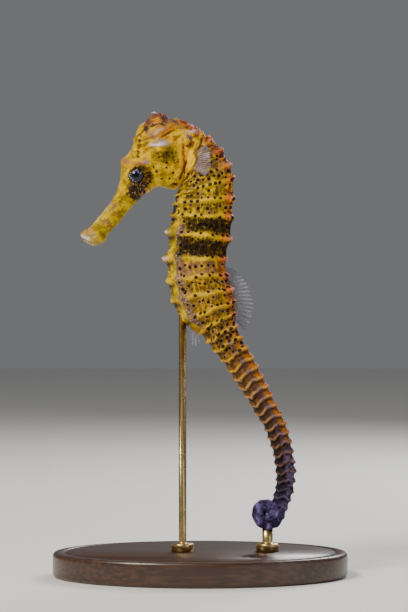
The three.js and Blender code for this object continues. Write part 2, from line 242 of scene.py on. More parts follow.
# %% Helper that places a piece
def place(bm, name, material, replaced=()):
    """Turns a bmesh into an object that rides on the body and stands for solids."""
    mesh = bpy.data.meshes.new(name)
    bm.to_mesh(mesh)
    bm.free()
    mesh.shade_smooth()
    mesh.materials.append(material)
    piece = bpy.data.objects.new(name, mesh)
    bpy.context.collection.objects.link(piece)
    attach(piece, "root")
    if replaced:
        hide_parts(*replaced)
    print(name, "has", len(mesh.polygons), "faces")
    return piece

# %% [markdown]
# ## Floor and light
#
# The studio is as plain as a museum's work table. The floor is a large sheet of pale board,
# with a hint of unevenness so that it doesn't look like a flat colour. A curved backdrop
# would hide the far edge, but it would stand in the way of views from behind.

# %% Floor
FLOOR_SIZE = 4.0

floor_material, tree, shader = new_material("floor_paint")
tone = grain(new_node(tree, "ShaderNodeTexCoord").outputs["Object"], 9.0)
fill(shader, {"Base Color": mixed(tone, paint("E9E8E5"), paint("EEEDEA")), "Roughness": 0.8})

bm = bmesh.new()
bmesh.ops.create_grid(bm, x_segments=1, y_segments=1, size=FLOOR_SIZE / 2)
mesh = bpy.data.meshes.new("floor")
bm.to_mesh(mesh)
bm.free()
mesh.materials.append(floor_material)
floor = bpy.data.objects.new("floor", mesh)
bpy.context.collection.objects.link(floor)
floor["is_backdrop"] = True
print("floor in metres:", FLOOR_SIZE)

# %% [markdown]
# The light is soft: a dim, even sky and three square softboxes. The key light stands high on
# the left, and the crests of the rings throw small shadows in it. The fill opens the dark
# side, and the rim light draws the edge of the back. Bare lamps would be simpler, but their
# shadows would be hard.

# %% Light
SKY_COLOUR, SKY_STRENGTH = "E4E6EA", 0.21

world = bpy.data.worlds.new("studio")
world.use_nodes = True
sky = world.node_tree.nodes["Background"]
sky.inputs["Color"].default_value = paint(SKY_COLOUR)
sky.inputs["Strength"].default_value = SKY_STRENGTH
bpy.context.scene.world = world


def softbox(name, spot, size, power, colour="FFFFFF"):
    """A square soft light that faces the animal. Spot in mm, size in metres, power in watts."""
    data = bpy.data.lights.new(name, "AREA")
    data.size = size
    data.energy = power
    data.color = paint(colour)[:3]
    lamp = bpy.data.objects.new(name, data)
    lamp.location = Vector(spot) * MM
    to_animal = VIEW_CENTRE - lamp.location
    lamp.rotation_euler = to_animal.to_track_quat("-Z", "Y").to_euler()
    bpy.context.collection.objects.link(lamp)


softbox("key", (-330, -330, 560), 0.20, 5.1, "FFF8EA")
softbox("fill", (480, -380, 220), 0.45, 0.5, "EAF1FF")
softbox("rim", (260, 420, 420), 0.30, 3.0)
print("lights:", len(bpy.data.lights))

# %% [markdown]
# ## The body as a formula
#
# A seahorse is a stack of bony rings. A ring number tells how far along the body a section
# lies: the head runs from -11 at the lips to 0 at the rear of the gill covers, 1 to 12 are
# the neck and trunk, and 13 to 47 are the tail. A whole number is the crest of a ring.
#
# Each station below holds its ring, the belly's edge, the back's edge and half the width,
# in millimetres. The same stations shape the solids, so the skin fits them by itself. A
# sculpted mesh could do this too, but then skin and solids would drift apart.

# %% Stations of the body
BODY_STATIONS = [
    (-11.0, -32.6, 94.9, -34.2, 97.2, 1.2),  # lips
    (-10.6, -30.2, 94.0, -32.9, 98.5, 2.0),
    (-10.0, -27.4, 95.3, -31.4, 99.2, 2.3),  # chin
    (-9.4, -26.4, 97.2, -29.6, 101.2, 2.1),
    (-8.0, -22.8, 101.0, -26.9, 104.5, 2.1),  # snout
    (-6.8, -19.7, 104.9, -24.2, 108.3, 2.3),
    (-5.8, -16.8, 107.7, -22.8, 112.6, 3.1),  # eyes
    (-4.8, -14.2, 109.7, -21.9, 117.6, 4.1),
    (-3.8, -12.1, 110.6, -19.5, 121.7, 4.7),  # forehead
    (-2.8, -10.3, 110.7, -17.4, 126.8, 5.0),
    (-1.8, -8.5, 110.3, -12.8, 129.2, 5.0),  # gill covers
    (-0.8, -7.0, 110.3, -6.8, 129.5, 4.7),
    (0.0, -5.8, 111.1, -1.2, 127.8, 4.6),  # throat
    (1.0, -5.4, 111.7, 2.9, 124.7, 4.7),
    (2.0, -5.7, 110.9, 5.9, 121.2, 5.0),  # neck
    (3.0, -6.3, 109.9, 8.3, 117.2, 5.3),
    (4.0, -6.8, 108.4, 9.4, 113.1, 5.4),
    (5.0, -7.4, 106.0, 9.4, 107.4, 5.6),
    (6.0, -8.1, 102.6, 9.1, 101.9, 5.7),
    (7.0, -8.8, 97.8, 8.4, 96.0, 5.7),
    (8.0, -9.1, 90.8, 7.3, 90.3, 5.7),  # deepest part of the trunk
    (9.0, -9.1, 84.4, 7.7, 85.8, 5.7),
    (10.0, -7.8, 78.4, 9.0, 81.8, 5.7),
    (11.0, -5.1, 72.4, 9.8, 78.2, 5.3),
    (12.0, -0.1, 69.4, 10.0, 74.7, 4.6),  # last trunk ring
]
print("stations of the body:", len(BODY_STATIONS))

# %% [markdown]
# The tail is easier to say by its middle line: ring, middle and depth. Its end winds up into
# a coil, which is a spiral worked out by a formula. The last turn moves sideways, so that it
# lies on the first one and doesn't run through it.

# %% Stations of the tail
TAIL_STATIONS = [
    (13, 6.1, 69.0, 9.5),
    (16, 11.3, 60.7, 8.1),
    (20, 17.3, 50.3, 6.8),
    (24, 22.2, 40.4, 5.9),
    (28, 24.3, 30.1, 5.4),
    (30, 24.0, 24.9, 5.1),
    (31, 23.4, 22.6, 5.0),
    (32, 22.6, 20.1, 4.9),
]
COIL_X, COIL_Z = 19.2, 18.0
COIL_FIRST, COIL_LAST = 33, 47
COIL_START, COIL_TURN = 0.14, 8.1  # radians
COIL_RADII = (2.65, 0.15)
COIL_DEPTHS = (4.8, 1.3)
COIL_TIGHTENING, COIL_THINNING = 2.6, 1.35  # powers
COIL_SIDE = (-4.0, 0.3, 0.68)  # how far, and over which share of the coil


def between(start, end, share):
    """The value a share of the way from start to end."""
    return start + (end - start) * share


def smooth(low, high, value):
    """0 below low, 1 above high, smooth between."""
    share = min(max((value - low) / (high - low), 0.0), 1.0)
    return share * share * (3 - 2 * share)


def plateau(limits, value):
    """0 outside the first and last of four limits, 1 between the middle two."""
    start, full, fading, end = limits
    return smooth(start, full, value) * smooth(end, fading, value)


def bell(distance, spread):
    """1 at no distance, falling to nothing past about two spreads."""
    return math.exp(-(distance / spread) ** 2)


def coil_station(ring):
    """Ring, middle, depth and sideways shift of the coil."""
    way = (ring - COIL_FIRST) / (COIL_LAST - COIL_FIRST)
    angle = COIL_START + COIL_TURN * (1.25 * way - 0.25 * way * way)
    radius = between(*COIL_RADII, way ** COIL_TIGHTENING)
    x = COIL_X + radius * math.cos(angle)
    z = COIL_Z - radius * math.sin(angle)
    side = COIL_SIDE[0] * smooth(COIL_SIDE[1], COIL_SIDE[2], way)
    return ring, x, z, between(*COIL_DEPTHS, way ** COIL_THINNING), side


def all_stations():
    """Every station as its ring and the six numbers that make a section."""
    stations = [(row[0], (*row[1:], 0.0)) for row in BODY_STATIONS]
    _, belly_x, belly_z, back_x, back_z, _ = BODY_STATIONS[-1]
    middles = [(12, (belly_x + back_x) / 2, (belly_z + back_z) / 2, 0.0, 0.0)]
    middles += [(*row, 0.0) for row in TAIL_STATIONS]
    middles += [coil_station(ring) for ring in range(COIL_FIRST, COIL_LAST + 2)]
    for before, here, after in zip(middles, middles[1:], middles[2:]):
        ring, x, z, depth, side = here
        along = Vector((after[1] - before[1], after[2] - before[2])).normalized()
        back = Vector((-along.y, along.x)) * depth / 2
        values = (x - back.x, z - back.y, x + back.x, z + back.y, depth / 2, side)
        stations.append((ring, values))
    return stations


STATIONS = all_stations()
FIRST_RING, LAST_RING = STATIONS[0][0], STATIONS[-1][0]
print("stations:", len(STATIONS), "from ring", FIRST_RING, "to", LAST_RING)

# %% [markdown]
# Between two stations every number follows a smooth curve that takes its slope from the
# neighbours. That gives a section at any ring: where its middle is, which way the back lies,
# and how deep and wide it is.

# %% Sections
def slope(index):
    """Change of each number per ring at a station, from its neighbours."""
    before = STATIONS[max(index - 1, 0)]
    after = STATIONS[min(index + 1, len(STATIONS) - 1)]
    return [(b - a) / (after[0] - before[0]) for a, b in zip(before[1], after[1])]


SLOPES = [slope(index) for index in range(len(STATIONS))]


def section(ring):
    """Middle, direction of the back, direction of the tail, half depth and half width."""
    index = max(i for i, station in enumerate(STATIONS[:-1]) if station[0] <= ring)
    (start, low), (end, high) = STATIONS[index], STATIONS[index + 1]
    step = end - start
    t = (ring - start) / step
    values = []
    for a, b, leave, arrive in zip(low, high, SLOPES[index], SLOPES[index + 1]):
        bulge = leave * t * (1 - t) ** 2 - arrive * t * t * (1 - t)
        values.append(between(a, b, t * t * (3 - 2 * t)) + bulge * step)
    belly = Vector((values[0], values[5], values[1]))
    back = Vector((values[2], values[5], values[3]))
    to_back = (back - belly).normalized()
    to_tail = Vector((to_back.z, 0, -to_back.x))
    return (belly + back) / 2, to_back, to_tail, (back - belly).length / 2, values[4]


*_, half_depth, half_width = section(8)
print("trunk at ring 8:", round(2 * half_depth, 1), "deep,", round(2 * half_width, 1), "wide, mm")

# %% [markdown]
# A section isn't round. The trunk has seven corners: a pair of upper, side and lower ridges
# and the keel of the belly. The tail has four. The corners are joined by straight sides, and
# then rounded by averaging neighbours, which is a cheap way to soften a corner.

# %% Corners of a section
TRUNK_CORNERS = [(0, 0.94), (30, 1.12), (74, 1.04), (139, 0.87), (180, 1.0)]
TAIL_CORNERS = [(0, 0.92), (38, 1.2), (117, 1.08), (157, 1.0), (180, 0.96)]
CORNERED = 0.9  # 0 is an oval section, 1 has straight sides
CORNERS_CHANGE = (10.5, 14)  # rings between which the trunk's corners turn into the tail's
CORNERS_START = (-1, 2.5)  # rings between which the head's oval gets corners
SOFTENING_PASSES = 4
COLUMNS = 120  # round the body
HALF = COLUMNS // 2


def corners(ring):
    """Angle in radians and radius of the five corners of one side."""
    share = smooth(*CORNERS_CHANGE, ring)
    pairs = zip(TRUNK_CORNERS, TAIL_CORNERS)
    return [(math.radians(between(a[0], b[0], share)), between(a[1], b[1], share)) for a, b in pairs]


def side_radius(around, angle):
    """Radius at an angle on the straight sides between corners."""
    for (a1, r1), (a2, r2) in zip(around, around[1:]):
        if angle <= a2 + 1e-9:
            return r1 * r2 * math.sin(a2 - a1) / (r1 * math.sin(angle - a1) + r2 * math.sin(a2 - angle))
    return around[-1][1]


def section_radii(ring, around):
    """Radius at each column of half a section, from back to belly."""
    share = CORNERED * smooth(*CORNERS_START, ring)
    radii = [between(1, side_radius(around, math.pi * j / HALF), share) for j in range(HALF + 1)]
    for _ in range(SOFTENING_PASSES):
        padded = [radii[1], *radii, radii[-2]]
        radii = [(a + 2 * b + c) / 4 for a, b, c in zip(padded, padded[1:], padded[2:])]
    return radii


print("corner angles of the tail:", ", ".join(str(angle) for angle, _ in TAIL_CORNERS))

# %% [markdown]
# ## Relief of the rings
#
# Every ring has a crest that runs round the body, and a knob where the crest crosses a
# ridge. Some knobs stand out more: on the keel of the belly, and on the shoulders. On the
# tail the crests lie lower, most of all on the belly's side, and sink below the plain
# section in between. Towards the tip they smooth away. A little noise keeps the crests from
# looking turned on a lathe.

# %% Relief of the rings
CREST_RISE = 0.42
CREST_SPREAD = 0.13  # of a ring, on either side of a crest
TAIL_SPREADS = (0.27, 0.12)  # before and behind a crest
KNOB_RISES = (0.0, 0.62, 0.4, 0.42, 0.3)  # at the five corners of one side
KNOB_SPREAD = 0.19  # radians round the body
KNOB_LENGTH = 0.2  # of a ring
RIDGE_RISE = 0.16  # of the long ridges between the crests
KEEL_KNOBS = {7: 1.1, 8: 1.5, 9: 0.5}
SHOULDER_KNOBS = {1: 0.5, 2: 0.9, 3: 0.9, 7: 1.0, 10: 0.9, 12: 0.6}
TIP_SMOOTHING = 0.84
CREST_WANDER = 0.17  # of a ring
TAIL_START = (12.2, 15)  # rings
TAIL_FLATTENING = (0.25, 0.6)  # how much lower tail crests are, on the back and on the belly
TAIL_HOLLOW = 0.2
CREST_SAGS = ((2.25, 0.5, 0.36), (0.7, 0.3, 0.16))  # angle, spread, share of a ring
VALLEY = (1.42, 0.22, 0.6)  # angle, spread, and how much lower crests are on the tail's side
LOW_SIDE = (1.2, 2.3)  # angles between which the back turns to the belly
FLAT_END, HOLLOW_END, TIP_START = (40, 34), (38, 30), (27, 36)  # rings
RELIEF_START, RIDGE_START = 0.4, 2  # rings


def tail_share(ring):
    """0 on the trunk, 1 on the tail, smooth between."""
    return smooth(*TAIL_START, ring)


def off_crest(ring, angle):
    """Rings to the nearest crest, below 0 before it. On the tail a crest sags on the flank."""
    sag = sum(share * bell(angle - middle, spread) for middle, spread, share in CREST_SAGS)
    wander = CREST_WANDER * noise.noise(Vector((2.4 * angle, 5.3 * round(ring), 1.7)))
    bent = ring - sag * tail_share(ring) - wander
    return bent - round(bent)


def crest_height(ring, offset):
    """A crest's profile from 0 to 1. Tail rings are plates that overlap like roof tiles."""
    tail_spread = TAIL_SPREADS[0 if offset < 0 else 1]
    return bell(offset, between(CREST_SPREAD, tail_spread, tail_share(ring)))


def ring_relief(ring, angle, around):
    """Height over the plain section, in mm."""
    crest = round(ring)
    if ring < RELIEF_START or crest >= LAST_RING:
        return 0.0
    tail = tail_share(ring)
    low_side = smooth(*LOW_SIDE, angle)
    flatter = tail * smooth(*FLAT_END, ring) * between(*TAIL_FLATTENING, low_side)
    fade = (1 - TIP_SMOOTHING * smooth(*TIP_START, ring)) * (1 - flatter)
    knobs = ridges = 0.0
    for corner, (corner_angle, _) in enumerate(around):
        rise = KNOB_RISES[corner]
        if corner == 1:
            rise = SHOULDER_KNOBS.get(crest, rise)
        if corner == 4:
            rise = KEEL_KNOBS.get(crest, rise)
        near = bell(angle - corner_angle, KNOB_SPREAD)
        knobs += rise * near
        ridges += near
    offset = off_crest(ring, angle)
    across = crest_height(ring, offset)
    knob_across = max(across, bell(offset, KNOB_LENGTH))
    valley = 1 - VALLEY[2] * tail * bell(angle - VALLEY[0], VALLEY[1])
    crests = (across * CREST_RISE + knob_across * knobs) * valley
    hollow = TAIL_HOLLOW * tail * smooth(*HOLLOW_END, ring) * (1 - across)
    long_ridges = RIDGE_RISE * ridges * smooth(RELIEF_START, RIDGE_START, ring)
    return fade * (crests + long_ridges) - hollow


print("crests at angle 0 in mm:", [round(ring_relief(ring, 0, corners(ring)), 2) for ring in (4, 8, 20)])

# %% [markdown]
# ## Skin rows
#
# The skin starts as a flat grid, wrapped round the body as a sleeve. Its rows lie closer
# where a ring is short. At the mouth a few extra rows turn inward, so the lips have a rim
# and an opening, painted dark as shade, and at the tip of the tail they close to a point.

# %% Rows of the sleeve
MOUTH_ROWS = [  # share of the section's size, and mm towards the tail
    (0.02, 1.5),
    (0.2, 1.45),
    (0.38, 1.1),
    (0.5, 0.5),
    (0.6, 0.1),
    (0.74, -0.1),
    (0.88, -0.06),
    (0.97, 0.08),
]
TIP_ROWS = [(0.85, 0.2), (0.6, 0.4), (0.3, 0.52), (0.02, 0.55)]
ROWS_PER_RING = ((-9.4, 26), (0.0, 13), (12.5, 17), (30.5, 15), (47.0, 8))  # up to a ring, how many


def rows_of_rings():
    """Ring, size and shift of every row."""
    rows = [(FIRST_RING, *row) for row in MOUTH_ROWS]
    start = FIRST_RING
    for end, per_ring in ROWS_PER_RING:
        count = round((end - start) * per_ring)
        rows += [(between(start, end, i / count), 1.0, 0.0) for i in range(count)]
        start = end
    rows.append((LAST_RING, 1.0, 0.0))
    return rows + [(LAST_RING, *row) for row in TIP_ROWS]


ROWS = rows_of_rings()
print("rows:", len(ROWS), "columns:", COLUMNS, "faces:", (len(ROWS) - 1) * COLUMNS)

# %% [markdown]
# ## Shape of the head
#
# The head is smooth beside the rings of the body, so what it has is told by a few soft
# forms, each a hump or a line with a bell for its profile. Sculpting by hand would be
# quicker to try, but it can't be repeated. First come the places that several forms, and
# the eyes and fins later, have to agree on.

# %% Places on the head
EYE_X, EYE_Z = -18.1, 113.7
EYE_Y, EYE_RADIUS = 2.75, 2.4
FIN_ROOT_X, FIN_ROOT_Z = -2.2, 117.9
FIN_ROOT_SIZE = (1.5, 3.5)
print("eyes in mm:", EYE_X, EYE_Z, "fin roots in mm:", FIN_ROOT_X, FIN_ROOT_Z)

# %% [markdown]
# Low humps and long ridges follow the head's own shape, so they are placed by ring and
# angle: the gill cover at the rear of the cheek, the swollen chin, a lobe on the upper lip,
# thin ridges along the snout, and two that run from the nose over the eyes to the crown.

# %% Humps and ridges of the head
HEAD_HUMPS = [  # ring, spread, angle, spread, rise
    (-1.5, 1.1, 1.6, 0.55, 0.4),  # gill cover
    (-10.0, 0.35, 2.7, 0.7, 0.15),  # chin
    (-10.62, 0.13, 0.0, 0.75, 0.3),  # upper lip
    (-10.3, 0.12, 0.0, 0.75, -0.3),  # behind the upper lip
]
HEAD_RIDGES = [  # rings where it starts, is full, fades and ends, then angle, spread, rise
    (-10.4, -9.6, -6.6, -5.6, 0.0, 0.3, 0.14),  # top of the snout
    (-10.4, -9.6, -6.6, -5.6, 1.4, 0.25, 0.12),  # sides of the snout
    (-6.2, -5.2, -2.8, -1.6, 0.0, 0.2, 0.2),  # forehead
    (-6.2, -5.2, -2.8, -1.6, 0.66, 0.17, 0.42),  # over the eyes
]


def head_relief(ring, angle):
    """Height of the humps and the long ridges, in mm."""
    height = 0.0
    for middle, length, side_angle, width, rise in HEAD_HUMPS:
        height += rise * bell(ring - middle, length) * bell(angle - side_angle, width)
    for *limits, side_angle, width, rise in HEAD_RIDGES:
        height += rise * plateau(limits, ring) * bell(angle - side_angle, width)
    return height


print("gill cover stands out, in mm:", round(head_relief(-1.5, 1.6), 2))

# %% [markdown]
# Bones show through the skin in other directions too, with creases between them. Each is a
# straight line on the side of the head, placed in millimetres. A negative rise makes it a
# crease.

# %% Lines on the head
HEAD_LINES = [  # x and z of both ends, spread, rise
    (-11.6, 123.9, -6.3, 127.9, 0.45, 0.6),  # fold under the crown
    (-11.0, 122.9, -5.8, 126.7, 0.28, -0.45),
    (-9.4, 125.2, -6.0, 125.9, 0.3, 0.3),
    (-14.9, 125.4, -11.9, 127.0, 0.5, 0.4),
    (-4.75, 124.6, -4.5, 114.4, 0.24, -0.42),  # before the gill opening
    (-5.5, 124.0, -5.3, 115.2, 0.45, 0.25),
    (-20.9, 116.3, -15.8, 117.6, 0.6, 0.5),  # brow
    (-20.6, 107.0, -10.5, 110.2, 0.6, 0.3),  # jaw
    (-16.7, 125.0, -17.8, 119.0, 0.3, -0.25),  # forehead
    (-13.8, 117.2, -8.2, 121.3, 0.4, 0.3),  # cheek
    (-13.4, 118.8, -8.6, 123.0, 0.3, -0.22),
    (-12.0, 114.0, -6.2, 116.4, 0.35, 0.22),
]
LINES_FADE = (0.8, 2.2)  # distances from the middle plane between which the lines fade in


def head_lines(point):
    """Height of the straight ridges and creases, in mm."""
    rise = 0.0
    here = Vector((point.x, point.z))
    for x1, z1, x2, z2, spread, height in HEAD_LINES:
        start, end = Vector((x1, z1)), Vector((x2, z2))
        share = min(max((here - start).dot(end - start) / (end - start).length_squared, 0.0), 1.0)
        rise += height * bell((here - start.lerp(end, share)).length, spread)
    return rise * smooth(*LINES_FADE, abs(point.y))


print("lines on each side of the head:", len(HEAD_LINES))

# %% [markdown]
# Two openings are sharper. The gill cover ends in a deep groove with a low welt before it,
# where the water leaves. The small mouth has a rim on its upper lip, and its corner runs
# back below the rim as a cleft.

# %% Gill opening and mouth
GROOVE_RING, GROOVE_SPREAD, GROOVE_DROP = -0.05, 0.13, 0.55
WELT_RING, WELT_SPREAD, WELT_SHARE = -0.38, 0.16, 0.45
GROOVE_ANGLES = (0.75, 1.05, 2.4, 2.75)  # where it starts, is full, fades and ends
GROOVE_BOW, GROOVE_WAVE = 0.18, 3.1
RIM_RING, RIM_SPREAD, RIM_RISE = -10.93, 0.09, 0.16
RIM_END = (2.1, 1.5)  # angles, from nothing to full
CLEFT_ANGLES, CLEFT_START = (1.75, 2.5), (-11, -10.5)  # from one angle to the other over these rings
CLEFT_END = (-10.45, -10.62)  # rings, from nothing to full
CLEFT_SPREAD, CLEFT_DEPTH = 0.16, 0.42


def gill_groove(ring, angle):
    """Depth of the groove, below 0, and height of its welt."""
    bowed = ring + GROOVE_BOW * math.sin(GROOVE_WAVE * angle)
    groove = bell(bowed - GROOVE_RING, GROOVE_SPREAD) - WELT_SHARE * bell(bowed - WELT_RING, WELT_SPREAD)
    return -GROOVE_DROP * groove * plateau(GROOVE_ANGLES, angle)


def lips(ring, angle):
    """Height of the rim, and depth of the cleft at the corner of the mouth."""
    rim = RIM_RISE * bell(ring - RIM_RING, RIM_SPREAD) * smooth(*RIM_END, angle)
    cleft_angle = between(*CLEFT_ANGLES, smooth(*CLEFT_START, ring))
    return rim - CLEFT_DEPTH * bell(angle - cleft_angle, CLEFT_SPREAD) * smooth(*CLEFT_END, ring)


print("gill groove in mm:", round(gill_groove(-0.2, 1.6), 2), "rim:", round(lips(RIM_RING, 0), 2))

# %% [markdown]
# Loose skin wrinkles on the nape. Noise gives such folds their wandering course: where it
# passes through 0 lies a sharp crease, and the skin between two creases bulges. The eyelid
# works in another way. It doesn't add height but sets how wide the head is near the eye, so
# that the lid meets the ball on every side.

# %% Folds, eyelids and fin roots
FOLD_RINGS = (-4.2, -2.6, 1.6, 3.4)  # where folds start, are full, fade and end
FOLD_END = (1.85, 1.0)  # angles, from nothing to full
FOLD_RISE, CREASE_DROP = 0.45, 2.25
CREASE_ROUNDING, CREASE_LIMIT = 0.05, 0.3  # of the noise
FOLD_WAVES = Matrix(((0.3, 0, 0), (0, 0.22, 0), (-0.2, 0, 0.5)))  # per mm, leaning
SWAY_SIZE, SWAY_WAVES = 1.5, 0.25
LID_HALF_WIDTH, LID_DROP = 4.08, 1.5  # at the lid, and how much less it is inside
LID_RIM = (2.6, 0.4, 0.25)  # distance from the eye's middle, spread, rise
LID_END, LID_CUP = (4.0, 2.6), (2.2, 1.6)  # distances from the eye's middle, nothing to full
FIN_ROOT_RISE = 0.9


def folds(point, ring, angle):
    """Loose folds of skin on the nape and under the crown."""
    where = plateau(FOLD_RINGS, ring) * smooth(*FOLD_END, angle)
    if where <= 0:
        return 0.0
    sway = SWAY_SIZE * noise.noise(point * SWAY_WAVES)
    wave = noise.noise(FOLD_WAVES @ point + Vector((sway, 0, 0)))
    away_from_crease = min(math.hypot(wave, CREASE_ROUNDING), CREASE_LIMIT)
    return where * (FOLD_RISE - CREASE_DROP * away_from_crease)


def eyelid(point):
    """Half width of the skin round the eye, as a target and how strongly it holds."""
    away = math.hypot(point.x - EYE_X, point.z - EYE_Z)
    rim = LID_RIM[2] * bell(away - LID_RIM[0], LID_RIM[1])
    return LID_HALF_WIDTH + rim - LID_DROP * smooth(*LID_CUP, away), smooth(*LID_END, away)


def fin_root(point):
    """How far the fleshy root of a pectoral fin stands out."""
    across = (point.x - FIN_ROOT_X) / FIN_ROOT_SIZE[0]
    up = (point.z - FIN_ROOT_Z) / FIN_ROOT_SIZE[1]
    return FIN_ROOT_RISE * math.sqrt(max(0.0, 1 - across * across - up * up))


print("eyelid's edge from the middle plane, in mm:", round(LID_HALF_WIDTH + LID_RIM[2], 2))

# %% [markdown]
# ## Nose spine and coronet
#
# On top of the snout, before the eyes, sits a short spine, and on the head sits the
# coronet, a low crown with ragged tips. No two seahorses wear the same. Both are pulled up
# out of the skin. The coronet's height is read from a profile that runs inward from its
# foot to its hollow middle.

# %% Nose spine and coronet
SPINE_X, SPINE_Z = -21.4, 118.6
CROWN_X, CROWN_Z = -12.4, 127.2
CROWN_LEAN = math.radians(8)
CROWN_HEIGHT, CROWN_LENGTH, CROWN_WIDTH = 4.8, 4.8, 3.6
CROWN_LOBES = 5
CROWN_FOOT = 0.8  # how far down the foot of the crown fades out
CROWN_PHASE = 0.6  # turn of its lobes, radians
CROWN_NOISE = (1.9, 4.0)  # radius and height of the circle where its raggedness is read
FOOT_WAVES = (0.16, 0.12)  # regular and ragged, as shares of the foot's size
RIM_WAVES = (0.32, 0.7)  # regular and ragged, in mm
RIM_LEAN, RIM_DROP, RIM_FLARE = 0.25, 0.1, 0.2
CROWN_RIM = (0.34, 0.13)  # share of the way out, spread
CROWN_PROFILE = [  # share of the way out from the middle, height
    (1.0, 0.3),
    (0.82, 0.36),
    (0.66, 0.45),
    (0.5, 0.66),
    (0.38, 0.93),
    (0.3, 1.0),  # rim
    (0.16, 0.84),
    (0.0, 0.8),
]


def crown_height(share):
    """Height from 0 to 1 at a share of the way out from the crown's middle."""
    for (outer, low), (inner, high) in zip(CROWN_PROFILE, CROWN_PROFILE[1:]):
        if share >= inner:
            return between(high, low, smooth(inner, outer, share))
    return CROWN_PROFILE[-1][1]


def coronet(point):
    """Lifts a point to the crown's surface, along the crown's leaning axis."""
    axis = Vector((math.sin(CROWN_LEAN), 0, math.cos(CROWN_LEAN)))
    forward = Vector((axis.z, 0, -axis.x))
    local = point - Vector((CROWN_X, 0, CROWN_Z))
    along, across, up = local.dot(forward), point.y, local.dot(axis)
    turn = math.atan2(across / CROWN_WIDTH, along / CROWN_LENGTH)
    radius, level = CROWN_NOISE
    ragged = noise.noise(Vector((radius * math.cos(turn), radius * math.sin(turn), level)))
    wave = math.cos(CROWN_LOBES * turn + CROWN_PHASE)
    lobe = 1 + FOOT_WAVES[0] * wave + FOOT_WAVES[1] * ragged
    share = math.hypot(along / CROWN_LENGTH, across / CROWN_WIDTH) / lobe
    if share > 1 or up < -CROWN_FOOT:
        return point
    rim = bell(share - CROWN_RIM[0], CROWN_RIM[1])
    tips = RIM_WAVES[0] * wave + RIM_WAVES[1] * ragged - RIM_LEAN * math.cos(turn) - RIM_DROP
    target = CROWN_HEIGHT * crown_height(share) + tips * rim
    flare = (forward * math.cos(turn) + Vector((0, math.sin(turn), 0))) * RIM_FLARE * rim
    hold = smooth(1.0, 0.8, share) * smooth(-CROWN_FOOT, 0.4, up)
    return point + (axis * max(0.0, target - up) + flare) * hold


print("crown's top in mm:", round(coronet(Vector((CROWN_X, 0, CROWN_Z))).z, 1))

# %% [markdown]
# The spines are single blunt cones in the head's middle line, and behind the crown stands a
# thin flap of skin. A cone is a bell of movement round a point: the nearer the skin, the
# further it goes.

# %% Spines and flap
SPINES = [  # x, z, lean x, lean z, spread
    (SPINE_X - 0.6, SPINE_Z - 0.4, -0.9, 0.62, 1.15),
    (-18.5, 124.4, -0.5, 0.15, 0.7),  # on the forehead
    (-16.9, 127.6, -0.35, 0.75, 1.1),  # before the crown
]
NAPE_FORMS = [  # x, spread along, spread across, shift x, shift z
    (-6.6, 1.2, 1.1, 0.0, 0.75),  # hump
    (-4.9, 1.0, 0.35, 1.2, 0.75),  # flap
]
NAPE_HEIGHT = (126, 128)  # z between which they set in


def spines(point):
    """Blunt cones in the head's middle line."""
    moves = [
        Vector((lean_x, 0, lean_z)) * bell((point - Vector((x, 0, z))).length, spread)
        for x, z, lean_x, lean_z, spread in SPINES
    ]
    return sum(moves, Vector())


def nape_forms(point):
    """A hump and a thin flap of skin behind the crown."""
    moves = [
        Vector((shift_x, 0, shift_z)) * bell(point.x - x, length) * bell(point.y, width)
        for x, length, width, shift_x, shift_z in NAPE_FORMS
    ]
    return sum(moves, Vector()) * smooth(*NAPE_HEIGHT, point.z)


print("spines:", len(SPINES))

# %% [markdown]
# ## From the flat grid to the body
#
# One row at a time, the section gives its middle and the way out to the skin at each
# column, and the relief is added on top. Fine noise roughens it all, because live skin over
# bone is never smooth. The row is measured too: dots on the body keep their size in
# millimetres, so the material needs to know how long a row and a ring are.

# %% One row of the skin
LUMPS = ((0.22, 0.16), (0.8, 0.09), (2.1, 0.035))  # waves per mm, and height in mm
HEAD_LUMPS, HEAD_LUMP_RINGS = (0.3, 0.32), (-7.5, -5, -1, 1)  # the same, on the head alone
FIRST_TURN = (32.5, 34, 39, 42)  # rings of the coil whose inner side meets in its middle
COIL_FILLING = 0.3  # how much deeper the first turn is on its inner side
HEAD_END, NECK_END = 0.6, 3  # rings up to which the forms of the head and neck are asked for
LID_FROM, FIN_FROM = 1.5, 1.0  # distances from the middle plane


def roughness_of(point, ring):
    """Height of the lumps at a place. The head has larger ones than the rings."""
    large = HEAD_LUMPS[1] * noise.noise(point * HEAD_LUMPS[0]) * plateau(HEAD_LUMP_RINGS, ring)
    return large + sum(rise * noise.noise(point * waves) for waves, rise in LUMPS)


def row_points(ring, size, shift):
    """Points of a row from back round the left side to the belly and on, and its measures."""
    middle, to_back, to_tail, half_depth, half_width = section(ring)
    around = corners(ring)
    radii = section_radii(ring, around)
    fine = min(1.0, half_depth / 3)
    in_coil = plateau(FIRST_TURN, ring)
    plain, shaped, folded = [], [], []
    for j in range(COLUMNS + 1):
        half_index = min(j, COLUMNS - j)
        turn = 2 * math.pi * j / COLUMNS
        angle = math.pi * half_index / HALF
        flat = to_back * math.cos(turn) * half_depth
        flat.y -= math.sin(turn) * half_width
        out = flat.normalized()
        filling = 1 + COIL_FILLING * in_coil * smooth(1.5, 3.0, angle)
        flat = flat * radii[half_index] * size * filling
        start = middle + flat + to_tail * shift
        plain.append(start)
        rise = ring_relief(ring, angle, around) + roughness_of(start, ring) * fine
        fold = folds(start, ring, angle)
        if ring < HEAD_END:
            rise += head_relief(ring, angle) + lips(ring, angle)
            fold += gill_groove(ring, angle) + head_lines(start)
        shaped.append(start + out * (rise + fold) * size)
        folded.append(fold)
    return plain, shaped, folded


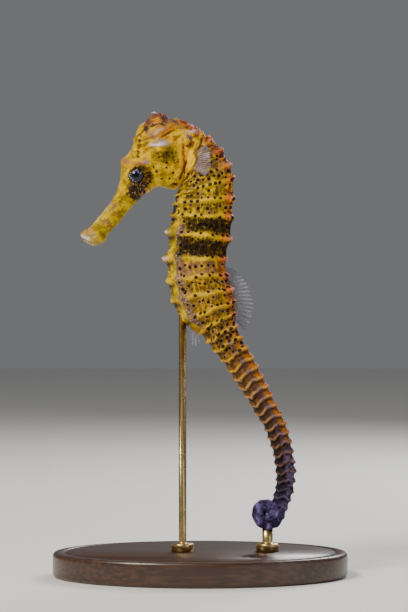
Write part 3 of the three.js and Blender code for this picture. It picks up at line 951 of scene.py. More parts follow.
def head_forms(point):
    """Moves a point of the head or neck to its finished place."""
    side = math.copysign(1, point.y)
    target, hold = eyelid(point)
    if hold > 0 and abs(point.y) > LID_FROM:
        point.y = side * between(abs(point.y), target, hold)
    if abs(point.y) > FIN_FROM:
        point.y += side * fin_root(point)
    point += spines(point) + nape_forms(point)
    return coronet(point)


print("points in a row:", len(row_points(8, 1, 0)[1]))

# %% [markdown]
# Now the grid itself. It brings a UV map that is simply the unrolled sleeve. The body is
# long and thin, so the map is cut into three strips side by side, which spends a square
# texture evenly. Nothing in the skin's material reads it: it is there for baking the
# colours into an image.

# %% Unrolled map
STRIP_RINGS = (2.0, 12.5)  # where one strip ends and the next starts
UV_MARGIN = 0.01


def strip_bounds():
    """Row numbers at which the strips start and end."""
    cuts = [next(i for i, row in enumerate(ROWS) if row[0] >= ring) for ring in STRIP_RINGS]
    return [0, *cuts, len(ROWS) - 1]


def unroll(bm, layer):
    """Lays the grid's faces out in strips."""
    bounds = strip_bounds()
    strips = len(bounds) - 1
    for face in bm.faces:
        places = [divmod(loop.vert.index, COLUMNS + 1) for loop in face.loops]
        first = min(row for row, _ in places)
        strip = max(i for i in range(strips) if bounds[i] <= first)
        for loop, (row, column) in zip(face.loops, places):
            u = between(UV_MARGIN, 1 - UV_MARGIN, column / COLUMNS)
            v = (row - bounds[strip]) / (bounds[strip + 1] - bounds[strip])
            loop[layer].uv = ((strip + u) / strips, between(UV_MARGIN, 1 - UV_MARGIN, v))


print("strips start at rows:", strip_bounds()[:-1])

# %% [markdown]
# Each row of the grid goes to its place on the body, and each point is given the numbers
# that the paint will read: ring, angle, place along the row in millimetres, length of a
# ring, how near a crest lies, the shade just behind it, folds and mouth. The sleeve's two
# long edges meet on the back, where doubled points are merged, and the skin is closed.

# %% Build the skin
SKIN_NUMBERS = ("ring", "around", "arc", "pitch", "crest", "under", "fold", "mouth")
CREST_PAINT = (0.12, 0.13)  # spread of the crests' paint on trunk and tail, of a ring
CREST_PAINT_CHANGE = (12, 15)  # rings
SHADE_SHIFT, SHADE_SPREAD = 0.27, 0.13  # of the shade behind a crest
MOUTH_SHADE = (0.75, 0.5)  # sizes between which the mouth darkens
CREST_PAINT_START = 0.5  # ring
MERGE_DISTANCE = 0.002 * MM

skin_bm = bmesh.new()
uv_layer = skin_bm.loops.layers.uv.new("OFBake")
bmesh.ops.create_grid(skin_bm, x_segments=COLUMNS, y_segments=len(ROWS) - 1, size=1, calc_uvs=True)
skin_bm.verts.ensure_lookup_table()
unroll(skin_bm, uv_layer)
layers = {name: skin_bm.verts.layers.float.new(name) for name in SKIN_NUMBERS}

rows = [row_points(*row) for row in ROWS]
for i, (ring, size, _) in enumerate(ROWS):
    plain, shaped, folded = rows[i]
    before, after = max(i - 1, 0), min(i + 1, len(ROWS) - 1)
    rings_apart = max(ROWS[after][0] - ROWS[before][0], 0.02)
    crest_width = between(*CREST_PAINT, smooth(*CREST_PAINT_CHANGE, ring))
    arc = 0.0
    for j in range(COLUMNS + 1):
        vert = skin_bm.verts[i * (COLUMNS + 1) + j]
        angle = math.pi * min(j, COLUMNS - j) / HALF
        left = j <= HALF
        if 0 < j:
            arc += (plain[j] - plain[j - 1]).length * (1 if left else -1)
        point = shaped[j]
        vert.co = (head_forms(point) if ring < NECK_END else point) * MM
        offset = off_crest(ring, angle)
        vert[layers["ring"]] = ring
        vert[layers["around"]] = angle
        vert[layers["arc"]] = arc if left else -arc
        vert[layers["pitch"]] = (rows[after][0][j] - rows[before][0][j]).length / rings_apart
        painted = 1.0 if ring > CREST_PAINT_START else 0.0
        vert[layers["crest"]] = painted * bell(offset, crest_width)
        vert[layers["under"]] = painted * bell(offset - SHADE_SHIFT, SHADE_SPREAD)
        vert[layers["fold"]] = folded[j]
        vert[layers["mouth"]] = smooth(*MOUTH_SHADE, size) if i < len(MOUTH_ROWS) else 0.0

bmesh.ops.remove_doubles(skin_bm, verts=skin_bm.verts, dist=MERGE_DISTANCE)
bmesh.ops.recalc_face_normals(skin_bm, faces=skin_bm.faces)
open_edges = sum(edge.is_boundary for edge in skin_bm.edges)
print("skin faces:", len(skin_bm.faces), "open edges:", open_edges)

# %% [markdown]
# ## Paint for the skin
#
# The animal is golden yellow, and its rings turn ochre, umber and slate down the tail. On
# the flanks lie rows of black-brown dots and two dark saddles. The colours come from the
# numbers on the skin: the ring, the angle round the body and the height of the crest. A
# painted image would do the same, but it would fix the sharpness once and for all.
#
# Two effects are used many times over, so each is a node group. The first is a soft-edged
# blotch at a place on the animal's side. Its edge is stirred by noise.

# %% Group: a blotch on the side
def new_group(name, inputs):
    """A node group with float inputs, a colour-free output called Mask, and its input node."""
    group = bpy.data.node_groups.new(name, "ShaderNodeTree")
    for socket, default in inputs.items():
        made = group.interface.new_socket(socket, in_out="INPUT", socket_type="NodeSocketFloat")
        made.default_value = default
    group.interface.new_socket("Mask", in_out="OUTPUT", socket_type="NodeSocketFloat")
    return group, new_node(group, "NodeGroupInput").outputs


def millimetres(tree):
    """Object coordinates in millimetres."""
    at = new_node(tree, "ShaderNodeTexCoord").outputs["Object"]
    return vector_maths("SCALE", at, Scale=1 / MM).outputs[0]


BLOTCH_INPUTS = {
    "Side X": 0, "Side Z": 0, "Sway X": 0, "Sway Z": 0,
    "X": 0, "Z": 0, "Long": 2, "High": 1, "Tilt": 0, "Soft": 0.4, "Stir": 0.5,
}
blotch, given = new_group("blotch", BLOTCH_INPUTS)
offsets = []
for axis in ("X", "Z"):
    swayed = maths("MULTIPLY_ADD", given["Sway " + axis], given["Stir"], given["Side " + axis])
    offsets.append(maths("SUBTRACT", swayed, given[axis]))
cos, sin = maths("COSINE", given["Tilt"]), maths("SINE", given["Tilt"])
along = maths("MULTIPLY_ADD", offsets[0], cos, product(offsets[1], sin))
athwart = product(offsets[0], product(sin, -1.0))
athwart = maths("MULTIPLY_ADD", offsets[1], cos, athwart)
oval = add_node("ShaderNodeCombineXYZ", {
    "X": maths("DIVIDE", along, given["Long"]),
    "Y": maths("DIVIDE", athwart, given["High"]),
})
reach = vector_maths("LENGTH", oval.outputs[0]).outputs["Value"]
add_node("NodeGroupOutput", {"Mask": over(reach, 1.0, rest_of(given["Soft"]))})
print("blotch inputs:", ", ".join(BLOTCH_INPUTS))

# %% [markdown]
# The second group is the fine grain of skin, a few tenths of a millimetre across, which
# breaks up the gloss on skin and fins alike.

# %% Group: fine grain
fine_grain, given = new_group("fine_grain", {"Size": 0.3})
scale = maths("DIVIDE", 1.0, given["Size"])
here = millimetres(fine_grain)
sockets = {"Vector": here, "Scale": scale}
pebbles = add_node("ShaderNodeTexVoronoi", sockets, feature="SMOOTH_F1")
soft = add_node("ShaderNodeTexNoise", {**sockets, "Detail": 2.0})
both = maths("SUBTRACT", soft.outputs["Fac"], pebbles.outputs["Distance"])
add_node("NodeGroupOutput", {"Mask": both})
print("node groups:", ", ".join(group.name for group in bpy.data.node_groups))

# %% [markdown]
# Three more helpers give a group's mask, a number stored on the mesh, and a mask between
# two limits.

# %% Helpers for masks
def use_group(tree, group, sockets):
    """A group's mask, with its own values."""
    return fill(new_node(tree, "ShaderNodeGroup", node_tree=group), sockets).outputs["Mask"]


def attribute(tree, name):
    """A number stored on the mesh."""
    return new_node(tree, "ShaderNodeAttribute", attribute_name=name).outputs["Fac"]


def within(value, low, high, soft):
    """1 between low and high, with soft edges."""
    rise = over(value, low - soft, low + soft)
    return product(rise, over(value, high + soft, high - soft))

# %% [markdown]
# ### What the paint reads
#
# The mesh brings its numbers, and four noises stir them: clouds, mottles and specks, from
# large to small, and streaks drawn out along the body. Without noise, every edge of paint
# would look ruled.
#
# Paint goes on in layers, as on a real cast. A layer is a colour, a strength and the masks
# that have to meet for it to show. Two short helpers name the masks by ring and by angle.

# %% Numbers, noise and layers
skin_material, skin_nodes, skin_shader = new_material("skin")
ring, around, arc, pitch, crest, under, fold, mouth = (
    attribute(skin_nodes, name) for name in SKIN_NUMBERS
)
off_crests = rest_of(crest)
at = millimetres(skin_nodes)

cloudy = grain(at, 0.35, 4.0)
mottled = grain(at, 0.8, 4.0, 0.65)
speckled = grain(at, 1.6, 3.0)
lengthwise = add_node("ShaderNodeCombineXYZ", {
    "X": product(arc, 1.5),
    "Y": product(ring, 0.8),
}).outputs[0]
streaky = grain(lengthwise, 1.0, 3.0)
uneven = maths("ADD", mottled, swing(streaky, 0.7))


PAST_BACK, PAST_BELLY = -1.0, 4.0  # angles beyond the middle of the back and of the belly


def rings(first, last, soft):
    """Mask of the skin between two ring numbers."""
    return within(ring, first, last, soft)


def angles(first, last, soft):
    """Mask of the skin between two angles round the body, on both sides."""
    return within(around, first, last, soft)


def lay(colour, strength, *masks):
    """Lays paint over the last layer of the skin, where all the masks meet."""
    top = paint(colour) if isinstance(colour, str) else colour
    skin_layers.append(mixed(product(*masks, strength), skin_layers[-1], top))


print("nodes before the first layer:", len(skin_nodes.nodes))

# %% [markdown]
# ### Ground colours
#
# A ramp along the rings gives the ground, a second the dark hollows between the crests,
# their own darker colour with painted shade, and a third the crests, their own paler colour
# with a painted highlight. Noise decides where the hollows stay light, so that no ring
# repeats the next. The dark ramp also lays painted shade just behind the crests. The folds
# of the nape and head get ochre ridges, and brown painted shade in their creases, the gill
# groove and the other creases of the head.

# %% Ground colours of the skin
GROUND = [
    (-11.0, "B09A6C"),  # lips
    (-9.9, "BCA200"),
    (-6.0, "D8B400"),
    (0.0, "E4B400"),
    (5.0, "D8B000"),  # trunk
    (11.0, "C08E00"),
    (13.5, "A47410"),  # tail
    (16.0, "865A20"),
    (19.0, "74502A"),
    (22.0, "583C2C"),
    (26.0, "3A2A2A"),
    (30.0, "221A22"),
    (33.0, "403058"),
    (47.0, "66588C"),  # tip
]
HOLLOW_COLOUR_AND_SHADE = [
    (-11.0, "8A5E10"),
    (2.0, "5E4804"),
    (5.0, "463400"),
    (12.0, "3C2604"),
    (16.0, "4A2E18"),
    (19.0, "40281C"),
    (24.0, "281A18"),
    (28.0, "0E0A10"),
    (33.0, "1E1834"),
    (47.0, "2C2648"),
]
CREST_COLOUR_AND_HIGHLIGHT = [
    (-11.0, "E8C000"),
    (5.0, "E8C000"),
    (13.0, "E8BA10"),
    (16.0, "E8AE34"),
    (19.0, "E0AC60"),
    (24.0, "AC7E54"),
    (27.0, "84604A"),
    (30.0, "5A4A50"),
    (34.0, "6A6296"),
    (47.0, "8A82BC"),
]
BODY_RINGS = LAST_RING - FIRST_RING
along_body = maths("DIVIDE", maths("SUBTRACT", ring, FIRST_RING), BODY_RINGS)


def ramp_of_rings(stops):
    """A colour ramp whose places are ring numbers."""
    placed = [((number - FIRST_RING) / BODY_RINGS, paint(colour)) for number, colour in stops]
    return colour_ramp(along_body, placed)


on_body = over(ring, 0.2, 1.2)

skin_layers = [ramp_of_rings(GROUND)]
lay("6E5800", 0.65, over(cloudy, 0.46, 0.62), over(ring, 16.0, 10.0))
lay("7C5004", 0.5, over(mottled, 0.5, 0.62), over(ring, 1.0, -1.0))
lay("F0C400", 0.6, over(mottled, 0.48, 0.34), over(ring, 6.0, 2.0))
# painted shade in the hollows between the crests, over their own darker colour
lay(ramp_of_rings(HOLLOW_COLOUR_AND_SHADE), 0.85, off_crests, on_body, over(uneven, 0.36, 0.6))
tail_back = product(angles(PAST_BACK, 1.12, 0.14), rings(12.6, 25.0, 1.0))
lay("B06A10", 0.75, tail_back, over(mottled, 0.34, 0.54))
# the crests' own paler colour, with a painted highlight along them
lay(ramp_of_rings(CREST_COLOUR_AND_HIGHLIGHT), 0.95, crest, on_body, over(mottled, 0.3, 0.5), over(ring, 38.0, 31.0))
# painted shade just behind each crest
lay(ramp_of_rings(HOLLOW_COLOUR_AND_SHADE), 0.95, under, over(ring, 9.0, 13.0), over(ring, 36.0, 31.0))
lay("E8A410", 0.65, over(fold, 0.12, 0.42), over(speckled, 0.3, 0.55))
# painted shade in the creases of the folds, the gill groove and the head's other creases
lay("5A2808", 0.85, over(fold, -0.03, -0.26))
print("colours along the body:", len(GROUND) + len(HOLLOW_COLOUR_AND_SHADE) + len(CREST_COLOUR_AND_HIGHLIGHT))

# %% [markdown]
# ### Back
#
# Colour also changes round the body. The back is orange, and the notches between its rings
# are dusky, their own colour deepened with painted shade. The corner ridges of the trunk are
# a stronger orange, and their knobs end in pale pink.

# %% Back
knob_zone = product(crest, over(crest, 0.4, 0.8))
back_edge = angles(PAST_BACK, 0.72, 0.18)
back_ridge = product(angles(0.2, 0.86, 0.16), rings(0.4, 12.0, 1.0))
back_knobs = product(knob_zone, angles(0.38, 0.68, 0.1), rings(0.6, 30.0, 1.0))

lay("CE5C06", 0.85, back_edge, rings(0.4, 25.0, 1.5), over(mottled, 0.28, 0.5))
# painted shade in the notches between the rings of the back, over their dusky colour
lay("1A1224", 0.92, back_edge, off_crests, over(mottled, 0.4, 0.52), rings(0.6, 26.0, 0.8))
lay("E04C00", 0.8, back_ridge, crest, over(mottled, 0.36, 0.5))
lay("D8A8A0", 0.75, back_knobs, over(speckled, 0.42, 0.54))
print("layers of paint so far:", len(skin_layers))

# %% [markdown]
# ### Belly
#
# The belly is a clean yellow strip with olive and pinkish clouds. Its keel has painted
# shade between the rings and pale tips, painted shade lies under the crests along the
# belly, and the throat's edge is painted nearly black as shade.

# %% Belly
trunk_rings = rings(3.4, 11.6, 0.8)
belly_strip = product(angles(2.5, PAST_BELLY, 0.08), trunk_rings)
keel_shade = product(angles(2.92, PAST_BELLY, 0.05), trunk_rings)
keel_tips = product(angles(2.93, PAST_BELLY, 0.05), knob_zone, rings(6.7, 8.3, 0.1))
throat_edge_shade = product(angles(2.86, PAST_BELLY, 0.08), rings(2.8, 6.6, 0.5))

lay("E8C000", 0.85, belly_strip)
lay("6A6004", 0.65, belly_strip, over(cloudy, 0.44, 0.58))
lay("A87858", 0.6, belly_strip, over(mottled, 0.54, 0.64))
# painted shade on the keel between the rings, under the crests and along the throat's edge
lay("2E2032", 0.75, keel_shade, off_crests, over(speckled, 0.42, 0.56))
lay("1E1228", 0.85, angles(2.66, PAST_BELLY, 0.1), under, trunk_rings)
lay("1E1628", 0.85, throat_edge_shade, off_crests, over(mottled, 0.36, 0.5))
lay("D4C4D4", 0.85, keel_tips, over(speckled, 0.36, 0.52))
print("layers of paint so far:", len(skin_layers))

# %% [markdown]
# ### Flanks and tail
#
# A mauve line parts the flank from the belly. On the tail the mauve moves up to the middle
# of the side. The side of the neck is brown with pale specks, the rings before the coil
# turn dusky, and the coil itself is clouded with blue-black and with lilac painted
# highlights.

# %% Flanks and tail
mauve_line = product(angles(2.18, 2.52, 0.08), rings(6.4, 11.6, 0.5))
tail_valley = product(angles(1.05, 1.6, 0.2), rings(13.5, 29.0, 1.0))
neck_side = product(rings(0.6, 3.6, 0.5), angles(0.7, 1.9, 0.2))
coil_part = over(ring, 32.0, 34.5)

lay("6A5048", 0.9, mauve_line, over(speckled, 0.32, 0.5))
lay("C8B4C0", 0.8, mauve_line, over(speckled, 0.58, 0.66))
lay("4E3638", 0.7, tail_valley, over(mottled, 0.4, 0.54))
lay("8C78A0", 0.7, tail_valley, crest, over(speckled, 0.44, 0.58))
lay("7E5434", 0.75, neck_side, over(mottled, 0.4, 0.56))
lay("A88A78", 0.5, neck_side, over(speckled, 0.54, 0.66))
lay("6A5A80", 0.6, angles(0.3, 1.5, 0.2), rings(25.5, 33.0, 1.0), over(mottled, 0.44, 0.58))
# painted highlight: lilac clouds on the coil
lay("9088C8", 0.75, coil_part, over(cloudy, 0.48, 0.64), over(mottled, 0.4, 0.56))
lay("17122A", 0.8, coil_part, over(cloudy, 0.5, 0.4), over(mottled, 0.56, 0.44))
print("layers of paint so far:", len(skin_layers))

# %% [markdown]
# ### Saddles
#
# Two dark saddles cross the flanks between rings 6 and 8, and a fainter mauve one follows.
# Their edges wander with the noise, and brown streaks along the body show through.

# %% Saddles
SADDLES = [(6.1, 6.8, 0.45, 2.15), (7.12, 7.92, 0.4, 2.45)]  # rings, angles


def saddle(first, last, high_edge, low_edge):
    """Mask of a saddle between two rings and two angles, with edges that wander."""
    wandering_ring = maths("ADD", ring, swing(speckled, 0.5))
    wandering_angle = maths("ADD", around, swing(cloudy, 1.2))
    along = within(wandering_ring, first, last, 0.11)
    return product(along, within(wandering_angle, high_edge, low_edge, 0.4))


saddles = maths("MAXIMUM", *(saddle(*limits) for limits in SADDLES))
saddles = product(saddles, over(uneven, 0.2, 0.42))
lay("8A5E4C", 0.75, rings(8.15, 8.85, 0.1), angles(0.9, 2.3, 0.2), over(uneven, 0.36, 0.56))
lay("2E2004", 0.93, saddles)
lay("080506", 0.9, saddles, over(uneven, 0.42, 0.54))
lay("5E4410", 0.75, saddles, over(streaky, 0.5, 0.62), over(speckled, 0.4, 0.56))
print("saddles:", len(SADDLES))

# %% [markdown]
# ### Blotches
#
# The head is marked by blotches: mauve, brown and orange on the crown, with a painted
# highlight on its top, ochre folds below it, a pale painted highlight streaked along the
# cheek, dark mottling round the eye, dusky spots and a thin painted highlight on the snout,
# and a painted shadow under the chin. Each is placed by where it lies on the side, in
# millimetres, with its length, height and tilt. How soft its edge is and how much it is
# stirred decide whether it looks like a spot or a stain.

# %% Blotches
BLOTCHES = [  # colour, x, z, long, high, tilt, soft, stir, strength
    ("6E403A", -12.5, 130.4, 6.5, 3.0, 0.0, 0.5, 0.6, 0.88),  # crown
    ("94602C", -9.6, 128.2, 4.4, 1.7, 0.2, 0.7, 0.9, 0.65),
    ("8A6248", -12.9, 125.7, 2.8, 1.6, 0.3, 0.7, 0.9, 0.7),
    ("CC8404", -12.6, 129.6, 1.9, 1.2, 0.2, 0.5, 0.7, 0.9),
    ("2A1C30", -13.2, 128.1, 1.6, 0.6, 0.2, 0.5, 0.6, 0.9),
    # painted highlight on the crown's top
    ("D6C8E4", -12.8, 131.9, 2.2, 0.45, 0.1, 0.6, 0.5, 0.8),
    ("B8A0C0", -16.2, 129.0, 1.3, 0.4, 0.1, 0.6, 0.5, 0.8),
    ("4A2C48", -8.6, 130.4, 1.6, 0.8, -0.3, 0.6, 0.6, 0.8),
    ("3A2230", -10.6, 129.0, 1.5, 0.6, 0.5, 0.6, 0.9, 0.8),
    ("5E3428", -14.3, 129.6, 1.6, 1.4, 0.2, 0.6, 0.9, 0.7),
    ("45283C", -1.2, 127.2, 1.6, 0.6, -0.6, 0.6, 0.9, 0.7),
    ("8A3C28", -3.4, 128.4, 5.2, 1.7, -0.4, 0.6, 0.8, 0.85),
    ("B8B438", -5.6, 130.2, 1.8, 0.3, -0.2, 0.6, 0.3, 0.8),
    ("3A2A50", -7.4, 129.4, 1.4, 0.6, -0.3, 0.6, 0.6, 0.7),
    ("5A2C3C", -5.4, 127.6, 2.2, 0.6, -0.3, 0.6, 0.9, 0.75),
    ("C87848", -9.6, 127.8, 2.6, 0.8, 0.2, 0.6, 0.9, 0.75),
    ("9A5A3C", -11.4, 125.0, 3.0, 0.7, 0.5, 0.6, 0.9, 0.6),
    ("D8A0B0", -1.6, 126.4, 1.8, 0.6, -0.6, 0.6, 0.9, 0.6),
    ("1E1830", -15.3, 126.9, 1.3, 1.3, 0.4, 0.6, 0.4, 0.9),
    ("241A2C", -17.0, 125.4, 0.7, 0.8, 0.4, 0.6, 0.4, 0.7),
    ("A8680C", -9.0, 126.6, 5.0, 1.0, 0.45, 0.7, 0.9, 0.8),  # folds under the crown
    ("D8A890", -12.0, 126.6, 3.0, 0.9, 0.35, 0.7, 0.8, 0.8),
    ("50260C", -9.4, 125.6, 3.4, 0.45, 0.55, 0.6, 0.4, 0.85),
    ("E09A10", -9.0, 124.4, 2.0, 0.8, 0.2, 0.6, 0.5, 0.8),
    ("5A4A66", -3.2, 124.8, 1.2, 1.3, 0.6, 0.6, 0.6, 0.8),
    ("C8A8C0", -3.0, 126.4, 1.6, 0.8, 0.3, 0.6, 0.6, 0.6),
    ("5C5200", -8.8, 119.6, 3.4, 3.8, 0.0, 0.7, 0.9, 0.85),  # cheek
    ("4A2E08", -10.2, 119.8, 1.8, 1.9, 0.3, 0.6, 1.0, 0.8),
    ("4A2E08", -7.4, 118.6, 0.9, 1.6, 0.3, 0.6, 1.0, 0.7),
    # painted highlight streaked along the cheek, in this row and the next two
    ("A89478", -11.2, 123.0, 3.9, 1.6, 0.03, 0.6, 0.7, 0.7),
    ("C4B8DC", -11.7, 122.6, 3.0, 0.7, 0.03, 0.6, 0.8, 0.85),
    ("EAE4F4", -12.4, 122.5, 1.7, 0.4, 0.03, 0.6, 0.5, 0.9),
    ("A04408", -4.5, 119.6, 0.5, 5.4, 0.03, 0.6, 0.4, 0.9),  # edge of the gill cover
    ("8A4A20", -0.9, 118.4, 0.4, 4.2, 0.08, 0.6, 0.4, 0.8),
    ("FFC800", -2.7, 118.3, 1.5, 3.9, 0.03, 0.4, 0.4, 0.92),
    ("B87840", -17.6, 117.2, 3.4, 1.2, -0.2, 0.6, 0.6, 0.8),  # brow
    ("B88AA0", -15.6, 117.6, 1.3, 0.7, 0.0, 0.6, 0.6, 0.7),
    ("A06A58", -21.3, 118.0, 1.7, 1.0, -0.3, 0.6, 0.8, 0.8),
    ("2C1808", -16.7, 113.3, 3.9, 3.7, -0.5, 0.3, 0.7, 0.97),  # round the eye
    ("24141A", -18.1, 109.4, 3.4, 3.0, -0.5, 0.35, 0.7, 0.97),
    ("7C5648", -24.6, 104.9, 2.4, 1.0, 0.95, 0.6, 0.9, 0.8),  # snout
    ("685000", -22.4, 103.6, 2.6, 1.0, 0.9, 0.6, 0.9, 0.7),
    ("9A6A1C", -24.3, 103.2, 1.3, 0.7, 0.3, 0.6, 0.5, 0.8),
    ("7A5C48", -27.4, 100.9, 1.8, 1.0, 0.5, 0.7, 0.9, 0.8),
    ("8A5038", -26.0, 100.2, 1.6, 0.8, 0.2, 0.7, 0.9, 0.75),
    ("7A6204", -28.8, 99.2, 1.8, 1.0, 0.6, 0.7, 0.9, 0.75),
    ("5E4408", -22.6, 106.6, 1.6, 0.8, 0.9, 0.7, 0.9, 0.7),
    # painted highlight along the top of the snout
    ("B0A0C4", -26.6, 105.0, 2.6, 0.35, 0.9, 0.6, 0.5, 0.6),
    ("E2C878", -29.0, 101.8, 3.4, 0.5, 0.86, 0.6, 0.5, 0.7),
    ("C48C50", -31.4, 97.9, 1.9, 1.5, 0.5, 0.7, 0.8, 0.8),  # lips
    ("7E7674", -30.4, 97.0, 1.2, 0.6, 0.2, 0.6, 0.3, 0.8),
    ("DCD0EC", -32.4, 96.2, 2.5, 0.5, -0.48, 0.6, 0.4, 0.92),
    ("B89AA8", -31.6, 94.4, 1.6, 0.6, -0.2, 0.5, 0.3, 0.75),
    # painted shadow under the chin
    ("2C1C0C", -7.2, 111.5, 1.5, 0.5, 0.25, 0.5, 0.3, 0.9),  # chin
]
CHEEK_DOTS = [  # x, z, radius
    (-12.3, 114.9, 0.62), (-9.4, 117.4, 0.5), (-9.5, 116.0, 0.42), (-7.6, 114.6, 0.52),
    (-8.7, 113.0, 0.46), (-13.1, 116.2, 0.4), (-7.9, 120.2, 0.42), (-9.4, 120.2, 0.36),
    (-3.6, 122.1, 0.48), (-3.3, 114.3, 0.6), (-17.2, 123.6, 0.46), (-17.7, 120.8, 0.4),
    (-17.4, 119.1, 0.42), (-11.6, 118.9, 0.42), (-6.3, 117.7, 0.36), (-10.9, 113.0, 0.34),
]

on_side = add_node("ShaderNodeSeparateXYZ", {0: at}).outputs
stirring = add_node("ShaderNodeTexNoise", {"Vector": at, "Scale": 0.9, "Detail": 3.0})
stirring = vector_maths("SUBTRACT", stirring.outputs["Color"], (0.5, 0.5, 0.5))
stirring = vector_maths("SCALE", stirring.outputs[0], Scale=4.0)
sway = add_node("ShaderNodeSeparateXYZ", {0: stirring.outputs[0]}).outputs


def blotch_mask(*shape):
    """One soft-edged blotch, from x, z, long, high, tilt, soft and stir."""
    sockets = dict(zip(("X", "Z", "Long", "High", "Tilt", "Soft", "Stir"), shape))
    for axis in ("X", "Z"):
        sockets["Side " + axis] = on_side[axis]
        sockets["Sway " + axis] = sway[axis]
    return use_group(skin_nodes, blotch, sockets)


for colour, *shape, strength in BLOTCHES:
    lay(colour, strength, blotch_mask(*shape))
for x, z, radius in CHEEK_DOTS:
    lay("17100E", 0.92, blotch_mask(x, z, radius, radius, 0.0, 0.45, 0.12))
print("blotches:", len(BLOTCHES), "dots on the head:", len(CHEEK_DOTS))

# %% [markdown]
# ### Dots in rows
#
# The dots of the flanks are cells of a Voronoi pattern that is laid out on the unrolled
# skin. Two cells go to a ring, so that the dots fall into rows. The distance to a cell's
# centre is taken in millimetres, or the dots would be stretched where the rings are tall.
# Some cells stay empty. Round the dots lie faint pale halos and specks.

# %% Dots in rows
DOT_SPACING = 1.62
DOT_RADIUS = 0.47
DOT_PAINT = "120C0A"
FILLED_CELLS = 0.86  # share


def dot_mask(cells, pull, radius, share):
    """Round dots at the cells' centres, in a share of the cells."""
    chance = add_node("ShaderNodeSeparateColor", {0: cells.outputs["Color"]}).outputs
    size = maths("MULTIPLY_ADD", chance["Green"], 0.6, 0.7)
    size = product(radius, size)
    reach = maths("DIVIDE", pull, size)
    ragged = maths("ADD", reach, swing(speckled, 0.4))
    chosen = maths("LESS_THAN", chance["Red"], share)
    return product(over(ragged, 1.15, 0.7), chosen)


half_pitch = product(pitch, 0.5)
unrolled = add_node("ShaderNodeCombineXYZ", {
    "X": maths("DIVIDE", arc, DOT_SPACING),
    "Y": maths("MULTIPLY_ADD", ring, 2.0, 0.5),
}).outputs[0]
sockets = {"Vector": unrolled, "Scale": 1.0, "Randomness": 0.6}
row_cells = add_node("ShaderNodeTexVoronoi", sockets, voronoi_dimensions="2D")
gap = vector_maths("SUBTRACT", unrolled, row_cells.outputs["Position"])
cell_size = add_node("ShaderNodeCombineXYZ", {"X": DOT_SPACING, "Y": half_pitch})
gap = vector_maths("MULTIPLY", gap.outputs[0], cell_size.outputs[0])
pull = vector_maths("LENGTH", gap.outputs[0]).outputs["Value"]

flank = angles(0.45, 2.42, 0.1)
dotted = product(flank, rings(1.6, 15.5, 0.8))
fine = grain(at, 2.6, 2.0)
off_saddles = rest_of(saddles)
lay("D8B078", 0.65, over(fine, 0.58, 0.66), flank, rings(8.6, 13.6, 0.4))
lay("C89058", 0.4, over(pull, 1.0, 0.5), dotted, over(cloudy, 0.48, 0.6), off_saddles)
lay(DOT_PAINT, 0.96, dot_mask(row_cells, pull, DOT_RADIUS, FILLED_CELLS), dotted)
print("dots in rows, in mm:", DOT_SPACING, "apart,", 2 * DOT_RADIUS, "across")

# %% [markdown]
# ### Loose dots
#
# On the neck, beside the belly and on the last rings of the trunk the dots follow no rows.
# There a plain Voronoi pattern in space does, with fewer of its cells filled.

# %% Loose dots
LOOSE_SPACING = 2.3
LOOSE_RADIUS = 0.52
FILLED_LOOSE_CELLS = 0.42  # share

sockets = {"Vector": at, "Scale": 1 / LOOSE_SPACING}
loose_cells = add_node("ShaderNodeTexVoronoi", sockets)
loose_pull = product(loose_cells.outputs["Distance"], LOOSE_SPACING)
loose_dots = dot_mask(loose_cells, loose_pull, LOOSE_RADIUS, FILLED_LOOSE_CELLS)
on_neck = product(rings(-0.5, 3.2, 0.5), angles(0.5, 2.6, 0.2))
by_belly = product(rings(3.4, 8.4, 0.5), angles(2.3, 2.95, 0.1))
on_lower = product(flank, rings(8.4, 14.0, 0.5))
loose_parts = maths("MAXIMUM", by_belly, on_lower)
loose_parts = maths("MAXIMUM", on_neck, loose_parts)
lay(DOT_PAINT, 0.94, loose_dots, loose_parts)
print("layers of paint so far:", len(skin_layers))

# %% [markdown]
# ### Round the eye, throat and mouth
#
# The dark patch round the eye is drawn out in spokes, as if it had run from the pupil:
# noise on a cone round the eye, where one turn of the spokes closes on itself. Below the
# eye it is flecked with white. The throat is finely barred, and the inside of the mouth is
# painted dark as shade.

# %% Round the eye, throat and mouth
SPOKE_TURN = 3.0  # radius of the circle of noise that the spokes are read from


def how_far(dx, dz):
    """How far a place lies from a middle."""
    return maths("SQRT", maths("MULTIPLY_ADD", dx, dx, product(dz, dz)))


def spokes_round(dx, dz, stretch):
    """Noise that runs outward like spokes from a middle."""
    turn = maths("ARCTAN2", dz, dx)
    cone = add_node("ShaderNodeCombineXYZ", {
        "X": product(maths("COSINE", turn), SPOKE_TURN),
        "Y": product(maths("SINE", turn), SPOKE_TURN),
        "Z": product(how_far(dx, dz), stretch),
    }).outputs[0]
    return grain(cone, 2.6, 4.0)


lay("A898B8", 0.25, over(fine, 0.6, 0.72), over(ring, 22.0, 34.0))
eye_patch = blotch_mask(-16.6, 111.6, 4.4, 4.8, -0.5, 0.35, 0.5)
from_eye_x = maths("SUBTRACT", on_side["X"], EYE_X)
from_eye_z = maths("SUBTRACT", on_side["Z"], EYE_Z)
streaks = spokes_round(from_eye_x, from_eye_z, 0.5)
lay("A87C1C", 0.85, eye_patch, over(streaks, 0.5, 0.6), over(mottled, 0.34, 0.5))
lay("0C0608", 0.85, eye_patch, over(streaks, 0.46, 0.38))
lay("B8B0C0", 0.8, eye_patch, over(fine, 0.6, 0.68), over(on_side["Z"], 113.0, 109.0))

throat = blotch_mask(-3.4, 109.0, 3.4, 2.6, 0.0, 0.5, 0.4)
bars = maths("SINE", product(on_side["Z"], 5.5))
lay("5A4A08", 0.7, over(bars, -0.2, 0.7), throat)
# painted shade inside the mouth
lay("1C0E0C", 1.0, mouth)
print("layers of paint in all:", len(skin_layers))

